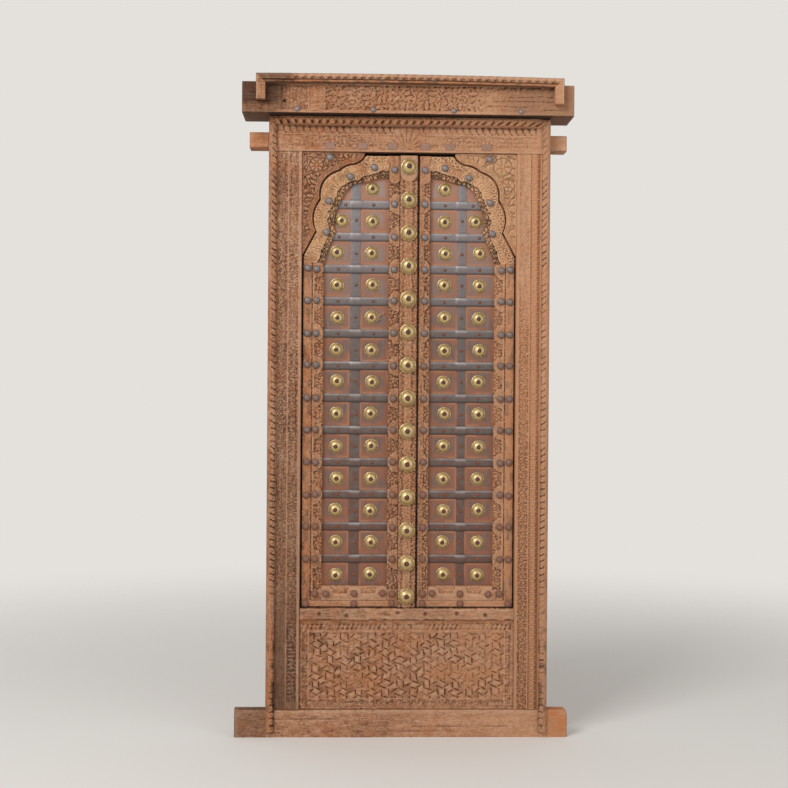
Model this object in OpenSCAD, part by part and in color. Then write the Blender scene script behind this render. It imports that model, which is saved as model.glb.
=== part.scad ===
// Carved teak window: a heavy frame with a lintel, and two pivoted shutters
// with cusped arches, iron straps and brass bosses, over a fixed carved apron.
// Millimetres. The front faces -Y, +Z is up, and the origin lies on the floor
// under the middle of the opening, with Y measured from the shutters' zone.
// A shutter is drawn once, with u running from its jamb's inner face to the
// meeting edge, and the right-hand one is its mirror image.

/* [Opening] */
// Clear width between the jambs
opening_w = 710; // [660:1:780]
// Clear height between the sill rail and the head beam
opening_h = 1508; // [1420:1:1620]

/* [Frame] */
// Depth of the jambs, head beam, rail and sill, front to back
frame_depth = 100; // [92:1:120]
// How far the frame's front stands before the Y = 0 plane
frame_reach = 45; // [42:1:50]
// Width of a jamb's carved face, without the roll beside it
jamb_face_w = 81; // [72:1:100]
// Height of the sill beam
sill_h = 92; // [80:1:110]
// Height of the apron panel between the sill and the rail
apron_h = 296; // [270:1:330]
// Height of the rail that carries the shutters
rail_h = 39; // [36:1:48]
// Height of the head beam
head_h = 116; // [108:1:130]
// Length of the sill's horn on the left
sill_horn_left = 103; // [60:1:130]
// Length of the sill's horn on the right
sill_horn_right = 69; // [50:1:130]
// Depth of the sill's horns
sill_horn_depth = 40; // [30:1:60]
// Rounding of the right horn's upper corner
horn_round = 14; // [6:1:24]
// Length of the head's horn on the left
head_horn_left = 66; // [40:1:90]
// Length of the head's horn on the right
head_horn_right = 59; // [40:1:90]
// Height of the head's horns
head_horn_h = 51; // [40:1:60]
// How far the head's horns start above its underside
head_horn_rise = 9; // [4:1:16]
// Depth of the head's horns, from the back
head_horn_depth = 70; // [50:1:85]

/* [Frame joinery] */
// Width of a jamb's tenons
jamb_tenon_w = 60; // [50:1:66]
// Thickness of a jamb's tenons
jamb_tenon_t = 28; // [20:1:34]
// Length of a jamb's tenons
jamb_tenon_l = 45; // [30:1:60]
// Height of the rail's tenons
rail_tenon_h = 18; // [14:1:20]
// Thickness of the rail's tenons
rail_tenon_t = 24; // [18:1:30]
// Length of the rail's tenons
rail_tenon_l = 35; // [25:1:45]
// Clearance round each tenon and tongue
joint_clearance = 0.2; // [0.1:0.05:0.4]

/* [Roll moulding] */
// Width of the leaf roll round the frame
roll_w = 30; // [24:1:36]
// Length of one carved leaf along the roll
roll_pitch = 46; // [38:1:60]
// Side of the square cutter that makes a notch
roll_notch = 7; // [4:0.5:9]
// Slant of the notches
roll_slant = 38; // [20:1:50]
// Height of the rolls' feet above the floor
roll_foot = 10; // [4:1:24]

/* [Lintel] */
// Length of the lintel
lintel_w = 1086; // [1040:1:1160]
// How far the lintel's middle lies to the right of the opening's
lintel_shift = -8; // [-20:1:20]
// Height of the lintel
lintel_h = 100; // [90:1:120]
// How far the lintel stands before the frame's front
lintel_reach = 58; // [50:1:80]
// Length of one turn of the lintel's vine
vine_pitch = 64; // [50:1:80]
// Height of the lintel's carved field
vine_h = 66; // [56:1:72]
// Length of the lintel's carved field
vine_w = 890; // [800:1:920]

/* [Cornice trim] */
// Outer width of the trim on the lintel
cornice_w = 997; // [940:1:1020]
// How far the trim's middle lies to the right of the opening's
cornice_shift = -6; // [-12:1:12]
// Height of the trim's top strip, and width of its legs
cornice_band = 30; // [24:1:36]
// How far the top strip rises above the lintel
cornice_rise = 17; // [10:1:22]
// Length of the legs below the top strip's lower edge
cornice_leg = 46; // [30:1:60]
// How far the trim stands before the lintel
cornice_reach = 25; // [16:1:32]

/* [Head and jamb carving] */
// Depth of the sunk carving on the frame
carve_depth = 4; // [2:0.5:6]
// Spacing of the head's leaf teeth
tooth_pitch = 36; // [28:1:44]
// Height of the row of leaf teeth
tooth_h = 24; // [18:1:28]
// Plain edge of a jamb beside the opening
jamb_fillet = 10; // [6:1:14]
// Plain rib between a jamb's two carved bands
jamb_rib = 5; // [3:1:8]
// Spacing of the leaves on the jambs
jamb_leaf_pitch = 46; // [36:1:60]
// Radius of the palmette on the head
palmette_r = 42; // [34:1:44]
// Width of the iron plates let into the head
plate_w = 30; // [20:1:36]
// Height of those plates
plate_h = 21; // [14:1:26]
// Thickness of those plates
plate_t = 3; // [2:0.5:5]

/* [Apron carving] */
// Thickness of the apron panel
apron_t = 30; // [26:1:36]
// How far the apron's face lies behind the frame's front
apron_recess = 10; // [6:1:14]
// Depth of the lattice's pockets
lattice_depth = 8; // [5:0.5:10]
// Spacing of the lattice's bars
lattice_pitch = 46; // [38:1:60]
// Width of the lattice's bars
lattice_bar = 11; // [8:0.5:14]
// Width of the rope border round the lattice
rope_w = 27; // [20:1:32]
// Plain edge outside and inside the rope border
apron_fillet = 9; // [6:1:14]
// Spacing of the rope's strands
rope_pitch = 24; // [18:1:32]
// How far the apron's tongues enter their grooves
tongue_l = 7; // [5:0.5:7]
// Thickness of the apron's tongues
tongue_t = 12; // [8:1:16]

/* [Shutters] */
// Thickness of the planks
plank_t = 36; // [30:1:40]
// How far the planks' faces lie behind the frame's front
plank_recess = 32; // [29:1:36]
// Gap between a plank's round heel and its jamb
heel_gap = 2; // [1.5:0.5:4]
// Gap between the carved battens and the jamb
jamb_gap = 5; // [4.5:0.5:8]
// Gap above a shutter
head_gap = 9; // [5:0.5:12]
// Gap below a shutter
rail_gap = 3; // [2:0.5:5]
// Distance from the middle of the opening to the right shutter's edge
meeting_x = 33; // [30:1:38]
// Gap between the two shutters
meeting_gap = 7; // [6:0.5:9]
// How far the left planks stand out beside the astragal
meeting_lip = 2; // [0:0.5:2]
// How far the meeting edges slant over the planks' thickness
meeting_rake = 3.5; // [2:0.25:4]
// Distance from the middle strap to the joint of the planks
plank_joint = 10; // [6:0.5:11]
// Diameter of the wooden pintles
pintle_d = 26; // [20:1:30]
// Clearance round a pintle
pintle_clearance = 0.4; // [0.2:0.05:0.8]
// How far the upper pintle enters the head
pintle_top_l = 34; // [24:1:50]
// How far the lower pintle enters the rail
pintle_foot_l = 24; // [16:1:26]
// End play of a pintle in its socket
pintle_play = 0.2; // [0.1:0.05:0.4]

/* [Carved battens] */
// Thickness of the battens' lower layer
batten_base_t = 13; // [9:0.5:15]
// Thickness of the battens' scalloped upper layer
batten_top_t = 7; // [4:0.5:9]
// Width of the plain strip along a hinge batten
hinge_strip_w = 28; // [22:1:34]
// Width of the scalloped part of a hinge batten
hinge_scallop_w = 38; // [30:1:46]
// Width of a meeting batten
meeting_w = 36; // [30:1:44]
// Width of the groove beside the plain strip
strip_groove = 2.5; // [1.5:0.5:4]
// Radius of the scallops
scallop_r = 33; // [26:1:38]
// Height of the strip along a shutter's foot
foot_strip_h = 22; // [16:1:28]
// Height of the carved band above that strip
foot_band_h = 48; // [40:1:60]
// Height of the plain pad at the top of a meeting batten
meeting_pad_h = 92; // [70:1:110]

/* [Arch] */
// Drop of the arch's feet below the head
arch_foot = 365; // [355:1:385]
// Drop of the arch's crown below the head
arch_crown = 78; // [70:1:88]
// Width of the arch's stepped inner edge
arch_step = 13; // [8:0.5:16]
// Gap between an arch and its spandrel
spandrel_gap = 4.5; // [3:0.5:7]
// Thickness of the spandrels
spandrel_t = 22; // [16:0.5:26]
// Gap between a spandrel and the planks behind it
spandrel_back_gap = 2; // [1:0.5:3]
// Width of the raised rim round a spandrel
spandrel_rim = 9; // [6:0.5:13]
// Depth of a spandrel's carved ground
spandrel_depth = 7; // [4:0.5:10]
// Diameter of the rosette in a spandrel
rosette_d = 50; // [36:1:56]

/* [Astragal] */
// Width of the astragal
astragal_w = 58; // [50:1:62]
// Thickness of the astragal's lower layer
astragal_base_t = 20; // [16:0.5:24]
// Thickness of the astragal's pads
astragal_pad_t = 10; // [6:0.5:12]
// Width of the ridge between the pads
astragal_ridge = 24; // [16:1:34]
// Height of the plain block at the astragal's top
astragal_block = 86; // [70:1:100]
// Distance of the end bosses from the astragal's ends
astragal_margin = 37; // [33:1:44]

/* [Iron and brass] */
// Number of cross straps on a shutter
strap_rows = 12; // [8:1:13]
// Width of the straps
strap_w = 28; // [20:1:34]
// Thickness of the cross straps
strap_t = 4; // [2.5:0.5:5]
// Thickness of the upright strap
upright_t = 3; // [2:0.5:4]
// Thickness of the sheet iron field
sheet_t = 1.5; // [1:0.25:2.5]
// Height of the lowest strap above the field's foot
strap_foot = 89; // [76:1:100]
// Drop of the highest strap below the arch's crown
strap_drop = 92; // [84:1:104]
// Distance of the boss columns from the middle strap
boss_offset = 58; // [48:1:64]
// Diameter of the field bosses
boss_d = 47; // [38:1:50]
// Height of the field bosses
boss_h = 14; // [10:0.5:18]
// Diameter of the astragal's bosses
big_boss_d = 55; // [44:1:56]
// Height of the astragal's bosses
big_boss_h = 17; // [12:0.5:22]
// Thickness of the bosses' brass
brass_t = 2.5; // [1.5:0.25:4]
// Diameter of the boss pins' heads
pin_head_d = 14; // [10:0.5:18]
// Diameter of the astragal pins' heads
big_pin_head_d = 17; // [12:0.5:20]
// Diameter of the dome nails
dome_d = 24; // [18:1:27]
// Height of the dome nails
dome_h = 9; // [6:0.5:12]
// Diameter of the rivets
rivet_d = 11; // [8:0.5:14]
// Height of the rivets' heads
rivet_h = 3; // [2:0.25:5]
// Diameter of every shank
shank_d = 6; // [4:0.5:7]
// Depth of the shanks in the wood behind
shank_grip = 18; // [10:1:26]
// Clearance round a shank
shank_clearance = 0.15; // [0.1:0.05:0.3]
// Diameter of the lintel's nails
lintel_nail_d = 17; // [12:0.5:20]
// Height of the lintel's nails
lintel_nail_h = 6; // [4:0.5:8]
// How far hand-driven nails stray from their lines
stray = 2; // [0:0.25:3]

/* [Ledges] */
// Height of the ledges behind the planks
ledge_h = 84; // [60:1:110]
// Thickness of the ledges
ledge_t = 22; // [16:1:24]
// Distance from a shutter's end to its nearest ledge
ledge_margin = 120; // [80:1:200]
// Distance from the pivot to a ledge's end
ledge_start = 58; // [56:1:80]
// Chamfer of the ledges' long edges
ledge_chamfer = 5; // [2:0.5:8]

/* [Hidden] */
$fn = 48;
cut = 1;
weathered = "#a06f55";
carved = "#ac7a58";
sandy = "#b98a5c";
iron = "#6f6865";
brass = "#c9ab55";

half = opening_w / 2;
jamb_w = jamb_face_w + roll_w;
frame_half = half + jamb_w;
front_y = -frame_reach;
back_y = front_y + frame_depth;
rail_z = sill_h + apron_h;
opening_z = rail_z + rail_h;
head_z = opening_z + opening_h;
head_top = head_z + head_h;
lintel_top = head_top + lintel_h;
lintel_y = front_y - lintel_reach;
cornice_y = lintel_y - cornice_reach;
cornice_top = lintel_top + cornice_rise;
cornice_low = cornice_top - cornice_band;
roll_x = half + jamb_face_w + roll_w / 2;
tenon_y = (front_y + back_y) / 2;

apron_y = front_y + apron_recess;
tongue_y = apron_y + (apron_t - tongue_t) / 2;

plank_y = front_y + plank_recess;
plank_back = plank_y + plank_t;
pivot_u = heel_gap + plank_t / 2;
pivot_y = plank_y + plank_t / 2;
leaf_z = opening_z + rail_gap;
leaf_top = head_z - head_gap;
left_edge = half + meeting_x - meeting_gap;
left_batten = left_edge - astragal_w;
right_batten = half - meeting_x;

overlay_t = batten_base_t + batten_top_t;
overlay_y = plank_y - overlay_t;
batten_y = plank_y - batten_base_t;
spandrel_y = plank_y - spandrel_back_gap - spandrel_t;
strip_u = jamb_gap + hinge_strip_w;
field_u = strip_u + hinge_scallop_w;
band_z = leaf_z + foot_strip_h;
field_z = band_z + foot_band_h;
foot_pad_z = band_z + foot_strip_h + dome_d / 2;
foot_lobe_r = foot_band_h / 2;
arch_z = head_z - arch_foot;
crown_z = head_z - arch_crown;
sheet_y = plank_y - sheet_t;
upright_y = sheet_y - upright_t;
strap_y = sheet_y - strap_t;
hump_y = upright_y - strap_t;
strap_ramp = 6;
strap_z0 = field_z + strap_foot;
strap_pitch = (crown_z - strap_drop - strap_z0) / (strap_rows - 1);
astragal_y = plank_y - astragal_base_t - astragal_pad_t;
astragal_x = meeting_x - meeting_gap - astragal_w / 2;
astragal_count = strap_rows + 2;
astragal_pitch = (leaf_top - leaf_z - 2 * astragal_margin) / (astragal_count - 1);

// The cusps of an arch, as distance from the jamb and drop below the head,
// with the height of the curve between each two. Both lines run foot to crown.
outer_cusps = [[0, -340], [43, -259], [56, -153], [124, -54], [207, 0]];
outer_rises = [0, 16, 24, -7];
inner_cusps = [[110, -264], [126, -163], [205, -97]];
inner_rises = [3, 12, 20, 4];
arc_steps = 7;
rosette = [46, -42];
spandrel_nail = [90, -17];
arch_nails = [[238, -48], [158, -79], [88, -161], [80, -264]];
plate_x = [-264, -158, -59, 50, 132, 254];
lintel_nail_x = [-372, -124, 138, 360];
lintel_nail_z = head_top + dome_d / 2;
top_boss_shift = 14;
top_rivet_shift = 22;

// Shapes used throughout

function reversed(list) = [for (i = [len(list) - 1:-1:0]) list[i]];

// Points of the arc from p up to, but without, q. It rises by rise to the left.
function arc(p, q, rise) =
    rise == 0 ? [p] :
    let (
        way = q - p,
        span = norm(way),
        side = [-way[1], way[0]] / span,
        radius = (span * span / 4 + rise * rise) / (2 * rise),
        centre = (p + q) / 2 + side * (rise - radius),
        start = atan2(p[1] - centre[1], p[0] - centre[0]),
        turn = -2 * asin(span / 2 / radius)
    )
    [for (i = [0:arc_steps - 1])
        centre + abs(radius) * [cos(start + turn * i / arc_steps),
                                sin(start + turn * i / arc_steps)]];

function cusped(points, rises) =
    concat(
        [for (i = [0:len(rises) - 1]) each arc(points[i], points[i + 1], rises[i])],
        [points[len(points) - 1]]);

function raised(points, shift) = [for (p = points) p + shift];

// A box between two corners
module block(low, high) {
    translate(low) cube(high - low);
}

// A flat drawing stood upright, its face at y and its thickness behind that
module upright(y, thickness) {
    translate([0, y + thickness, 0]) rotate([90, 0, 0]) linear_extrude(thickness) children();
}

// A cut into an upright face at y
module sunk(y, depth) {
    upright(y - cut, depth + cut) children();
}

// A rectangle between two corners
module panel(low, high) {
    translate(low) square(high - low);
}

// A pointed leaf along X, from two crossing circles
module leaf(length, width) {
    radius = (length * length + width * width) / (4 * width);
    intersection() {
        translate([0, radius - width / 2]) circle(radius);
        translate([0, width / 2 - radius]) circle(radius);
    }
}

// A flower with a round eye
module flower(petals, reach, petal_r, eye_r) {
    circle(eye_r);
    for (i = [0:petals - 1]) rotate(i * 360 / petals) translate([reach, 0]) circle(petal_r);
}

// A row of paired leaves up the middle of a band
module leaf_band(low, high, pitch) {
    width = high[0] - low[0];
    leaf_l = pitch * 0.82;
    leaf_w = width * 0.36;
    lean = 28;
    count = floor((high[1] - low[1]) / pitch);
    start = (low[1] + high[1] - (count - 1) * pitch) / 2;
    for (i = [0:count - 1], s = [-1, 1])
        translate([(low[0] + high[0]) / 2 + s * width / 4, start + i * pitch])
            rotate(90 - s * lean) leaf(leaf_l, leaf_w);
}

// What is drawn for the left shutter, moved to its side: -1 left, 1 right
module on_side(side) {
    translate([side * half, 0, 0]) mirror([side > 0 ? 1 : 0, 0, 0]) children();
}

// Frame

module jamb_tenon(z, room) {
    block([-jamb_w / 2 - jamb_tenon_w / 2 - room, tenon_y - jamb_tenon_t / 2 - room, z - room],
          [-jamb_w / 2 + jamb_tenon_w / 2 + room, tenon_y + jamb_tenon_t / 2 + room,
           z + jamb_tenon_l + room]);
}

module rail_tenon(room) {
    middle = rail_z + tongue_l + (rail_h - tongue_l - pintle_foot_l) / 2 + rail_tenon_h / 2;
    block([-rail_tenon_l - room, tenon_y - rail_tenon_t / 2 - room, middle - rail_tenon_h / 2 - room],
          [0, tenon_y + rail_tenon_t / 2 + room, middle + rail_tenon_h / 2 + room]);
}

// The apron's tongues, grown by the room that their grooves need
module apron_tongue(room) {
    reach = tongue_l + room;
    block([-half - reach, tongue_y - room, sill_h - reach],
          [half + reach, tongue_y + tongue_t + room, rail_z + reach]);
}

module pintle_sockets() {
    bore_d = pintle_d + 2 * pintle_clearance;
    for (side = [-1, 1]) on_side(side) translate([pivot_u, pivot_y, 0]) {
        translate([0, 0, head_z - cut]) cylinder(d = bore_d, h = pintle_top_l + cut + pintle_play);
        translate([0, 0, opening_z - pintle_foot_l - pintle_play])
            cylinder(d = bore_d, h = pintle_foot_l + pintle_play + cut);
    }
}

module sill_beam() {
    right = frame_half + sill_horn_right;
    color(weathered) difference() {
        union() {
            block([-frame_half, front_y, 0], [frame_half, back_y, sill_h]);
            block([-frame_half - sill_horn_left, front_y, 0],
                  [-frame_half, front_y + sill_horn_depth, sill_h]);
            upright(front_y, sill_horn_depth) {
                panel([frame_half, 0], [right, sill_h - horn_round]);
                panel([frame_half, 0], [right - horn_round, sill_h]);
                translate([right - horn_round, sill_h - horn_round]) circle(horn_round);
            }
        }
        for (side = [-1, 1]) on_side(side) jamb_tenon(sill_h - jamb_tenon_l, joint_clearance);
        apron_tongue(joint_clearance);
    }
}

// A jamb stands on the inner face's side of u = 0
module jamb(side) {
    rib_u = -(jamb_face_w - jamb_fillet - jamb_rib) / 2 - jamb_fillet;
    low = sill_h + jamb_fillet;
    high = head_z - jamb_fillet;
    inner = [[rib_u + jamb_rib / 2, low], [-jamb_fillet, high]];
    outer = [[-jamb_face_w + jamb_rib, low], [rib_u - jamb_rib / 2, high]];
    color(weathered) on_side(side) difference() {
        union() {
            block([-jamb_w, front_y, sill_h], [0, back_y, head_z]);
            jamb_tenon(sill_h - jamb_tenon_l, 0);
            jamb_tenon(head_z, 0);
        }
        for (band = [inner, outer]) sunk(front_y, carve_depth) difference() {
            panel(band[0], band[1]);
            leaf_band(band[0], band[1], jamb_leaf_pitch);
        }
        rail_tenon(joint_clearance);
        translate([half, 0, 0]) apron_tongue(joint_clearance);
    }
}

module left_jamb() {
    jamb(-1);
}

module right_jamb() {
    jamb(1);
}

module sill_rail() {
    color(weathered) difference() {
        union() {
            block([-half, front_y, rail_z], [half, back_y, opening_z]);
            for (side = [-1, 1]) on_side(side) rail_tenon(0);
        }
        apron_tongue(joint_clearance);
        pintle_sockets();
    }
}

// The fan of leaves in the middle of the head
module palmette() {
    eye_r = palmette_r * 0.16;
    leaf_l = palmette_r * 0.84;
    leaf_w = palmette_r * 0.3;
    reach = palmette_r * 0.56;
    lean = 26;
    for (i = [-3:3]) rotate(90 + i * lean) translate([reach, 0]) leaf(leaf_l, leaf_w);
    circle(eye_r);
}

module head_beam() {
    carved_half = half + jamb_face_w - jamb_fillet;
    teeth_z = head_top - roll_w - tooth_h;
    low_z = head_z + jamb_fillet + plate_h;
    teeth = floor(2 * carved_half / tooth_pitch);
    tooth_leaf = [tooth_h * 0.9, tooth_pitch * 0.3];
    tooth_lean = 40;
    color(weathered) difference() {
        union() {
            block([-frame_half, front_y, head_z], [frame_half, back_y, head_top]);
            translate([0, 0, head_z + head_horn_rise])
                block([-frame_half - head_horn_left, back_y - head_horn_depth, 0],
                      [frame_half + head_horn_right, back_y, head_horn_h]);
        }
        for (side = [-1, 1]) on_side(side) jamb_tenon(head_z, joint_clearance);
        pintle_sockets();
        sunk(front_y, carve_depth) difference() {
            panel([-carved_half, teeth_z], [carved_half, teeth_z + tooth_h]);
            for (i = [0:teeth - 1], s = [-1, 1])
                translate([(i - (teeth - 1) / 2) * tooth_pitch + s * tooth_pitch / 4, teeth_z + tooth_h / 2])
                    rotate(90 + s * tooth_lean) leaf(tooth_leaf[0], tooth_leaf[1]);
            translate([0, low_z]) circle(palmette_r + jamb_rib);
        }
        sunk(front_y, carve_depth) intersection() {
            difference() {
                translate([0, low_z - plate_h / 2]) circle(palmette_r);
                translate([0, low_z - plate_h / 2]) palmette();
            }
            panel([-half, low_z - plate_h / 2], [half, teeth_z + tooth_h]);
        }
        for (x = plate_x) sunk(front_y, plate_t - cut) head_plate_outline(x);
    }
}

module head_plate_outline(x) {
    low = head_z + jamb_fillet;
    panel([x - plate_w / 2, low], [x + plate_w / 2, low + plate_h]);
}

// Iron plates let into the head, standing a little proud of it
module head_plates() {
    color(iron) for (x = plate_x) upright(front_y - cut, plate_t) head_plate_outline(x);
}

// Bars in three directions, which leave triangles and hexagons between them
module lattice_bars(low, high) {
    middle = (low + high) / 2;
    reach = norm(high - low) / 2;
    count = ceil(reach / lattice_pitch);
    for (way = [[90, 0.5], [30, 0], [150, 0]], i = [-count:count])
        translate(middle) rotate(way[0])
            translate([-reach, (i + way[1]) * lattice_pitch - lattice_bar / 2])
                square([2 * reach, lattice_bar]);
}

// Slanting strands along a border that starts at the origin and runs along X
module rope(length) {
    count = floor(length / rope_pitch);
    strand_w = rope_pitch * 0.42;
    lean = 52;
    for (i = [0:count - 1])
        translate([(i + 0.5) * length / count, rope_w / 2]) rotate(lean) leaf(rope_w, strand_w);
}

module apron_panel() {
    low = [-half + apron_fillet, sill_h + apron_fillet];
    high = [half - apron_fillet, rail_z - apron_fillet];
    inner_low = low + [rope_w + apron_fillet, rope_w + apron_fillet];
    inner_high = high - [rope_w + apron_fillet, rope_w + apron_fillet];
    size = high - low;
    color(carved) difference() {
        union() {
            block([-half, apron_y, sill_h], [half, apron_y + apron_t, rail_z]);
            apron_tongue(0);
        }
        sunk(apron_y, lattice_depth) difference() {
            panel(inner_low, inner_high);
            lattice_bars(inner_low, inner_high);
        }
        sunk(apron_y, carve_depth) difference() {
            panel(low, high);
            panel(low + [rope_w, rope_w], high - [rope_w, rope_w]);
            translate(low) rope(size[0]);
            translate([low[0], high[1] - rope_w]) rope(size[0]);
            for (x = [low[0] + rope_w, high[0]])
                translate([x, low[1] + rope_w]) rotate(90) rope(size[1] - 2 * rope_w);
        }
    }
}

// A half-round bar up Z with its flat back on Y = 0, notched like overlapping leaves
module leaf_roll(length) {
    radius = roll_w / 2;
    notch_y = -radius * 0.9;
    difference() {
        linear_extrude(length) intersection() {
            circle(radius);
            panel([-radius, -roll_w], [radius, 0]);
        }
        for (i = [0:floor(length / roll_pitch) - 1], s = [-1, 1])
            translate([s * radius / 2, notch_y, (i + 0.5) * roll_pitch])
                rotate([0, s * roll_slant, 0]) rotate([45, 0, 0])
                    cube([roll_w, roll_notch, roll_notch], center = true);
    }
}

module side_roll(side) {
    inner = half + jamb_face_w;
    outer = inner + roll_w;
    color(carved) intersection() {
        translate([side * roll_x, front_y, roll_foot]) leaf_roll(head_top - roll_foot);
        upright(front_y - roll_w, roll_w) polygon([
            [side * inner, roll_foot], [side * outer, roll_foot],
            [side * outer, head_top], [side * inner, head_top - roll_w]]);
    }
}

module left_roll() {
    side_roll(-1);
}

module right_roll() {
    side_roll(1);
}

module top_roll() {
    outer = roll_x + roll_w / 2;
    inner = outer - roll_w;
    color(carved) intersection() {
        translate([-outer, front_y, head_top - roll_w / 2]) rotate([0, 90, 0]) leaf_roll(2 * outer);
        upright(front_y - roll_w, roll_w) polygon([
            [-inner, head_top - roll_w], [inner, head_top - roll_w],
            [outer, head_top], [-outer, head_top]]);
    }
}

// A wavy stem with a flower or a leaf in each turn
module vine(length) {
    stem_r = vine_pitch / 4;
    stem_w = vine_h * 0.09;
    flower_r = vine_h * 0.13;
    petal_r = flower_r * 0.55;
    leaf_l = stem_r * 1.3;
    flower_z = (vine_h - flower_r) * 0.31;
    leaf_drop = (vine_h - flower_r) * 0.42;
    lean = 30;
    turns = floor(length / vine_pitch);
    for (i = [0:turns - 1], s = [-1, 1])
        translate([(i - (turns - 1) / 2) * vine_pitch + s * stem_r, 0]) {
            difference() {
                circle(stem_r + stem_w / 2);
                circle(stem_r - stem_w / 2);
                panel([-vine_pitch, s > 0 ? 0 : -vine_pitch], [vine_pitch, s > 0 ? vine_pitch : 0]);
            }
            translate([0, s * flower_z]) flower(5, flower_r, petal_r, petal_r);
            for (t = [-1, 1]) translate([t * stem_r * 0.75, -s * leaf_drop])
                rotate(s * t * lean) leaf(leaf_l, flower_r);
        }
}

module lintel() {
    left = lintel_shift - lintel_w / 2;
    vine_z = head_top + (cornice_low - head_top) / 2;
    color(carved) difference() {
        block([left, lintel_y, head_top], [left + lintel_w, back_y, lintel_top]);
        sunk(lintel_y, carve_depth) translate([cornice_shift, vine_z]) difference() {
            panel([-vine_w / 2, -vine_h / 2], [vine_w / 2, vine_h / 2]);
            vine(vine_w);
            for (x = lintel_nail_x)
                translate([x - cornice_shift, lintel_nail_z - vine_z]) circle(d = lintel_nail_d);
        }
        lintel_shanks(shank_clearance, shank_grip + joint_clearance);
    }
}

// Trim on the lintel's face: a strip with a leg at each end, mitred together
module cornice_outline(part) {
    outer = cornice_w / 2;
    inner = outer - cornice_band;
    low = cornice_low - cornice_leg;
    translate([cornice_shift, 0]) {
        if (part == 0)
            polygon([[-inner, cornice_low], [inner, cornice_low],
                     [outer, cornice_top], [-outer, cornice_top]]);
        else
            polygon([[part * outer, cornice_top], [part * inner, cornice_low],
                     [part * inner, low], [part * outer, low]]);
    }
}

// One length of the trim: pairs of sunk leaves over a bead with a groove along it
module cornice_piece(part) {
    pairs = floor(cornice_w / roll_pitch / 2) - 1;
    leaf_l = cornice_band * 0.8;
    leaf_w = cornice_band * 0.22;
    leaves_z = cornice_low + cornice_band * 0.6;
    groove_z = cornice_low + cornice_band * 0.26;
    groove_w = cornice_band * 0.08;
    lean = 60;
    color(carved) difference() {
        upright(cornice_y, cornice_reach) cornice_outline(part);
        if (part == 0)
            for (i = [-pairs:pairs], s = [-1, 1])
                sunk(cornice_y, carve_depth) translate([cornice_shift + i * roll_pitch, leaves_z])
                    rotate(s * lean) leaf(leaf_l, leaf_w);
        sunk(cornice_y, carve_depth)
            panel([-cornice_w, groove_z], [cornice_w, groove_z + groove_w]);
    }
}

module cornice_strip() {
    cornice_piece(0);
}

module left_cornice_leg() {
    cornice_piece(-1);
}

module right_cornice_leg() {
    cornice_piece(1);
}

module lintel_shanks(room, depth) {
    for (x = lintel_nail_x) translate([x, lintel_y, lintel_nail_z]) rotate([-90, 0, 0])
        translate([0, 0, -cut]) cylinder(d = shank_d + 2 * room, h = depth + cut);
}

module lintel_nails() {
    color(iron) {
        for (x = lintel_nail_x)
            translate([x, lintel_y, lintel_nail_z]) dome(lintel_nail_d, lintel_nail_h);
        lintel_shanks(0, shank_grip);
    }
}

// A spandrel fills the corner over an arch, and is fixed to the frame
module spandrel_outline(shift) {
    polygon(raised(concat([[0, 0]], raised(cusped(outer_cusps, outer_rises), shift)), [0, head_z]));
}

// The sprigs round a spandrel's rosette, each a place, a turn and a length
spandrel_sprigs = [
    [[19, -108], 50, 40], [[18, -148], 120, 40], [[17, -188], 50, 40], [[16, -228], 120, 40],
    [[15, -268], 50, 40], [[128, -17], 150, 38], [[74, -76], 55, 44], [[46, -92], -20, 36]];

module spandrel(side) {
    rim = spandrel_rim;
    petal_r = rosette_d / 6;
    eye_r = petal_r * 0.85;
    sprig_w = 13;
    color(carved) on_side(side) difference() {
        upright(spandrel_y, spandrel_t) spandrel_outline([0, 0]);
        sunk(spandrel_y, spandrel_depth) difference() {
            intersection() {
                spandrel_outline([-rim, rim]);
                panel([rim / 2, arch_z], [half, head_z - rim / 2]);
            }
            translate([0, head_z]) {
                translate(rosette) flower(8, rosette_d / 2 - petal_r, petal_r, eye_r);
                translate(spandrel_nail) circle(d = dome_d);
                for (s = spandrel_sprigs) translate(s[0]) rotate(s[1]) leaf(s[2], sprig_w);
            }
        }
        spandrel_shank(shank_clearance, joint_clearance);
    }
}

// The shank of a spandrel's nail stops short of the shutter behind
module spandrel_shank(room, play) {
    length = spandrel_t - spandrel_back_gap;
    translate([0, 0, head_z])
        shanks([spandrel_nail], spandrel_y - cut, length + cut + play, room);
}

module spandrel_nails() {
    color(iron) for (side = [-1, 1]) on_side(side) {
        translate([spandrel_nail[0], spandrel_y, head_z + spandrel_nail[1]]) dome(dome_d, dome_h);
        spandrel_shank(0, 0);
    }
}

module left_spandrel() {
    spandrel(-1);
}

module right_spandrel() {
    spandrel(1);
}

// Shutters: where things stand on one

function strap_z(i) = strap_z0 + i * strap_pitch;
function field_edge(batten) = batten - meeting_w;
function field_mid(batten) = (field_u + field_edge(batten)) / 2;
function wander(i) = stray * sin(137 * i);
function below_arch() = [for (i = [0:strap_rows - 1]) if (strap_z(i) < arch_z - dome_d / 2) i];
// The top row's outer places, which the arch pushes inwards
function under_arch(i, s) = i == strap_rows - 1 && s < 0;

function boss_places(batten) = concat(
    [for (i = [0:strap_rows - 1], s = [-1, 1])
        [field_mid(batten) + s * boss_offset + (under_arch(i, s) ? top_boss_shift : wander(i + 5 * s)),
         strap_z(i) - strap_pitch / 2 + wander(2 * i + s)]],
    [[field_mid(batten) + boss_offset, strap_z(strap_rows - 1) + strap_pitch / 2]]);

function strap_rivets(batten) =
    [for (i = [0:strap_rows - 1], s = [-1, 1])
        [field_mid(batten) + s * boss_offset + (under_arch(i, s) ? top_rivet_shift : wander(3 * i + s)),
         strap_z(i)]];

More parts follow.
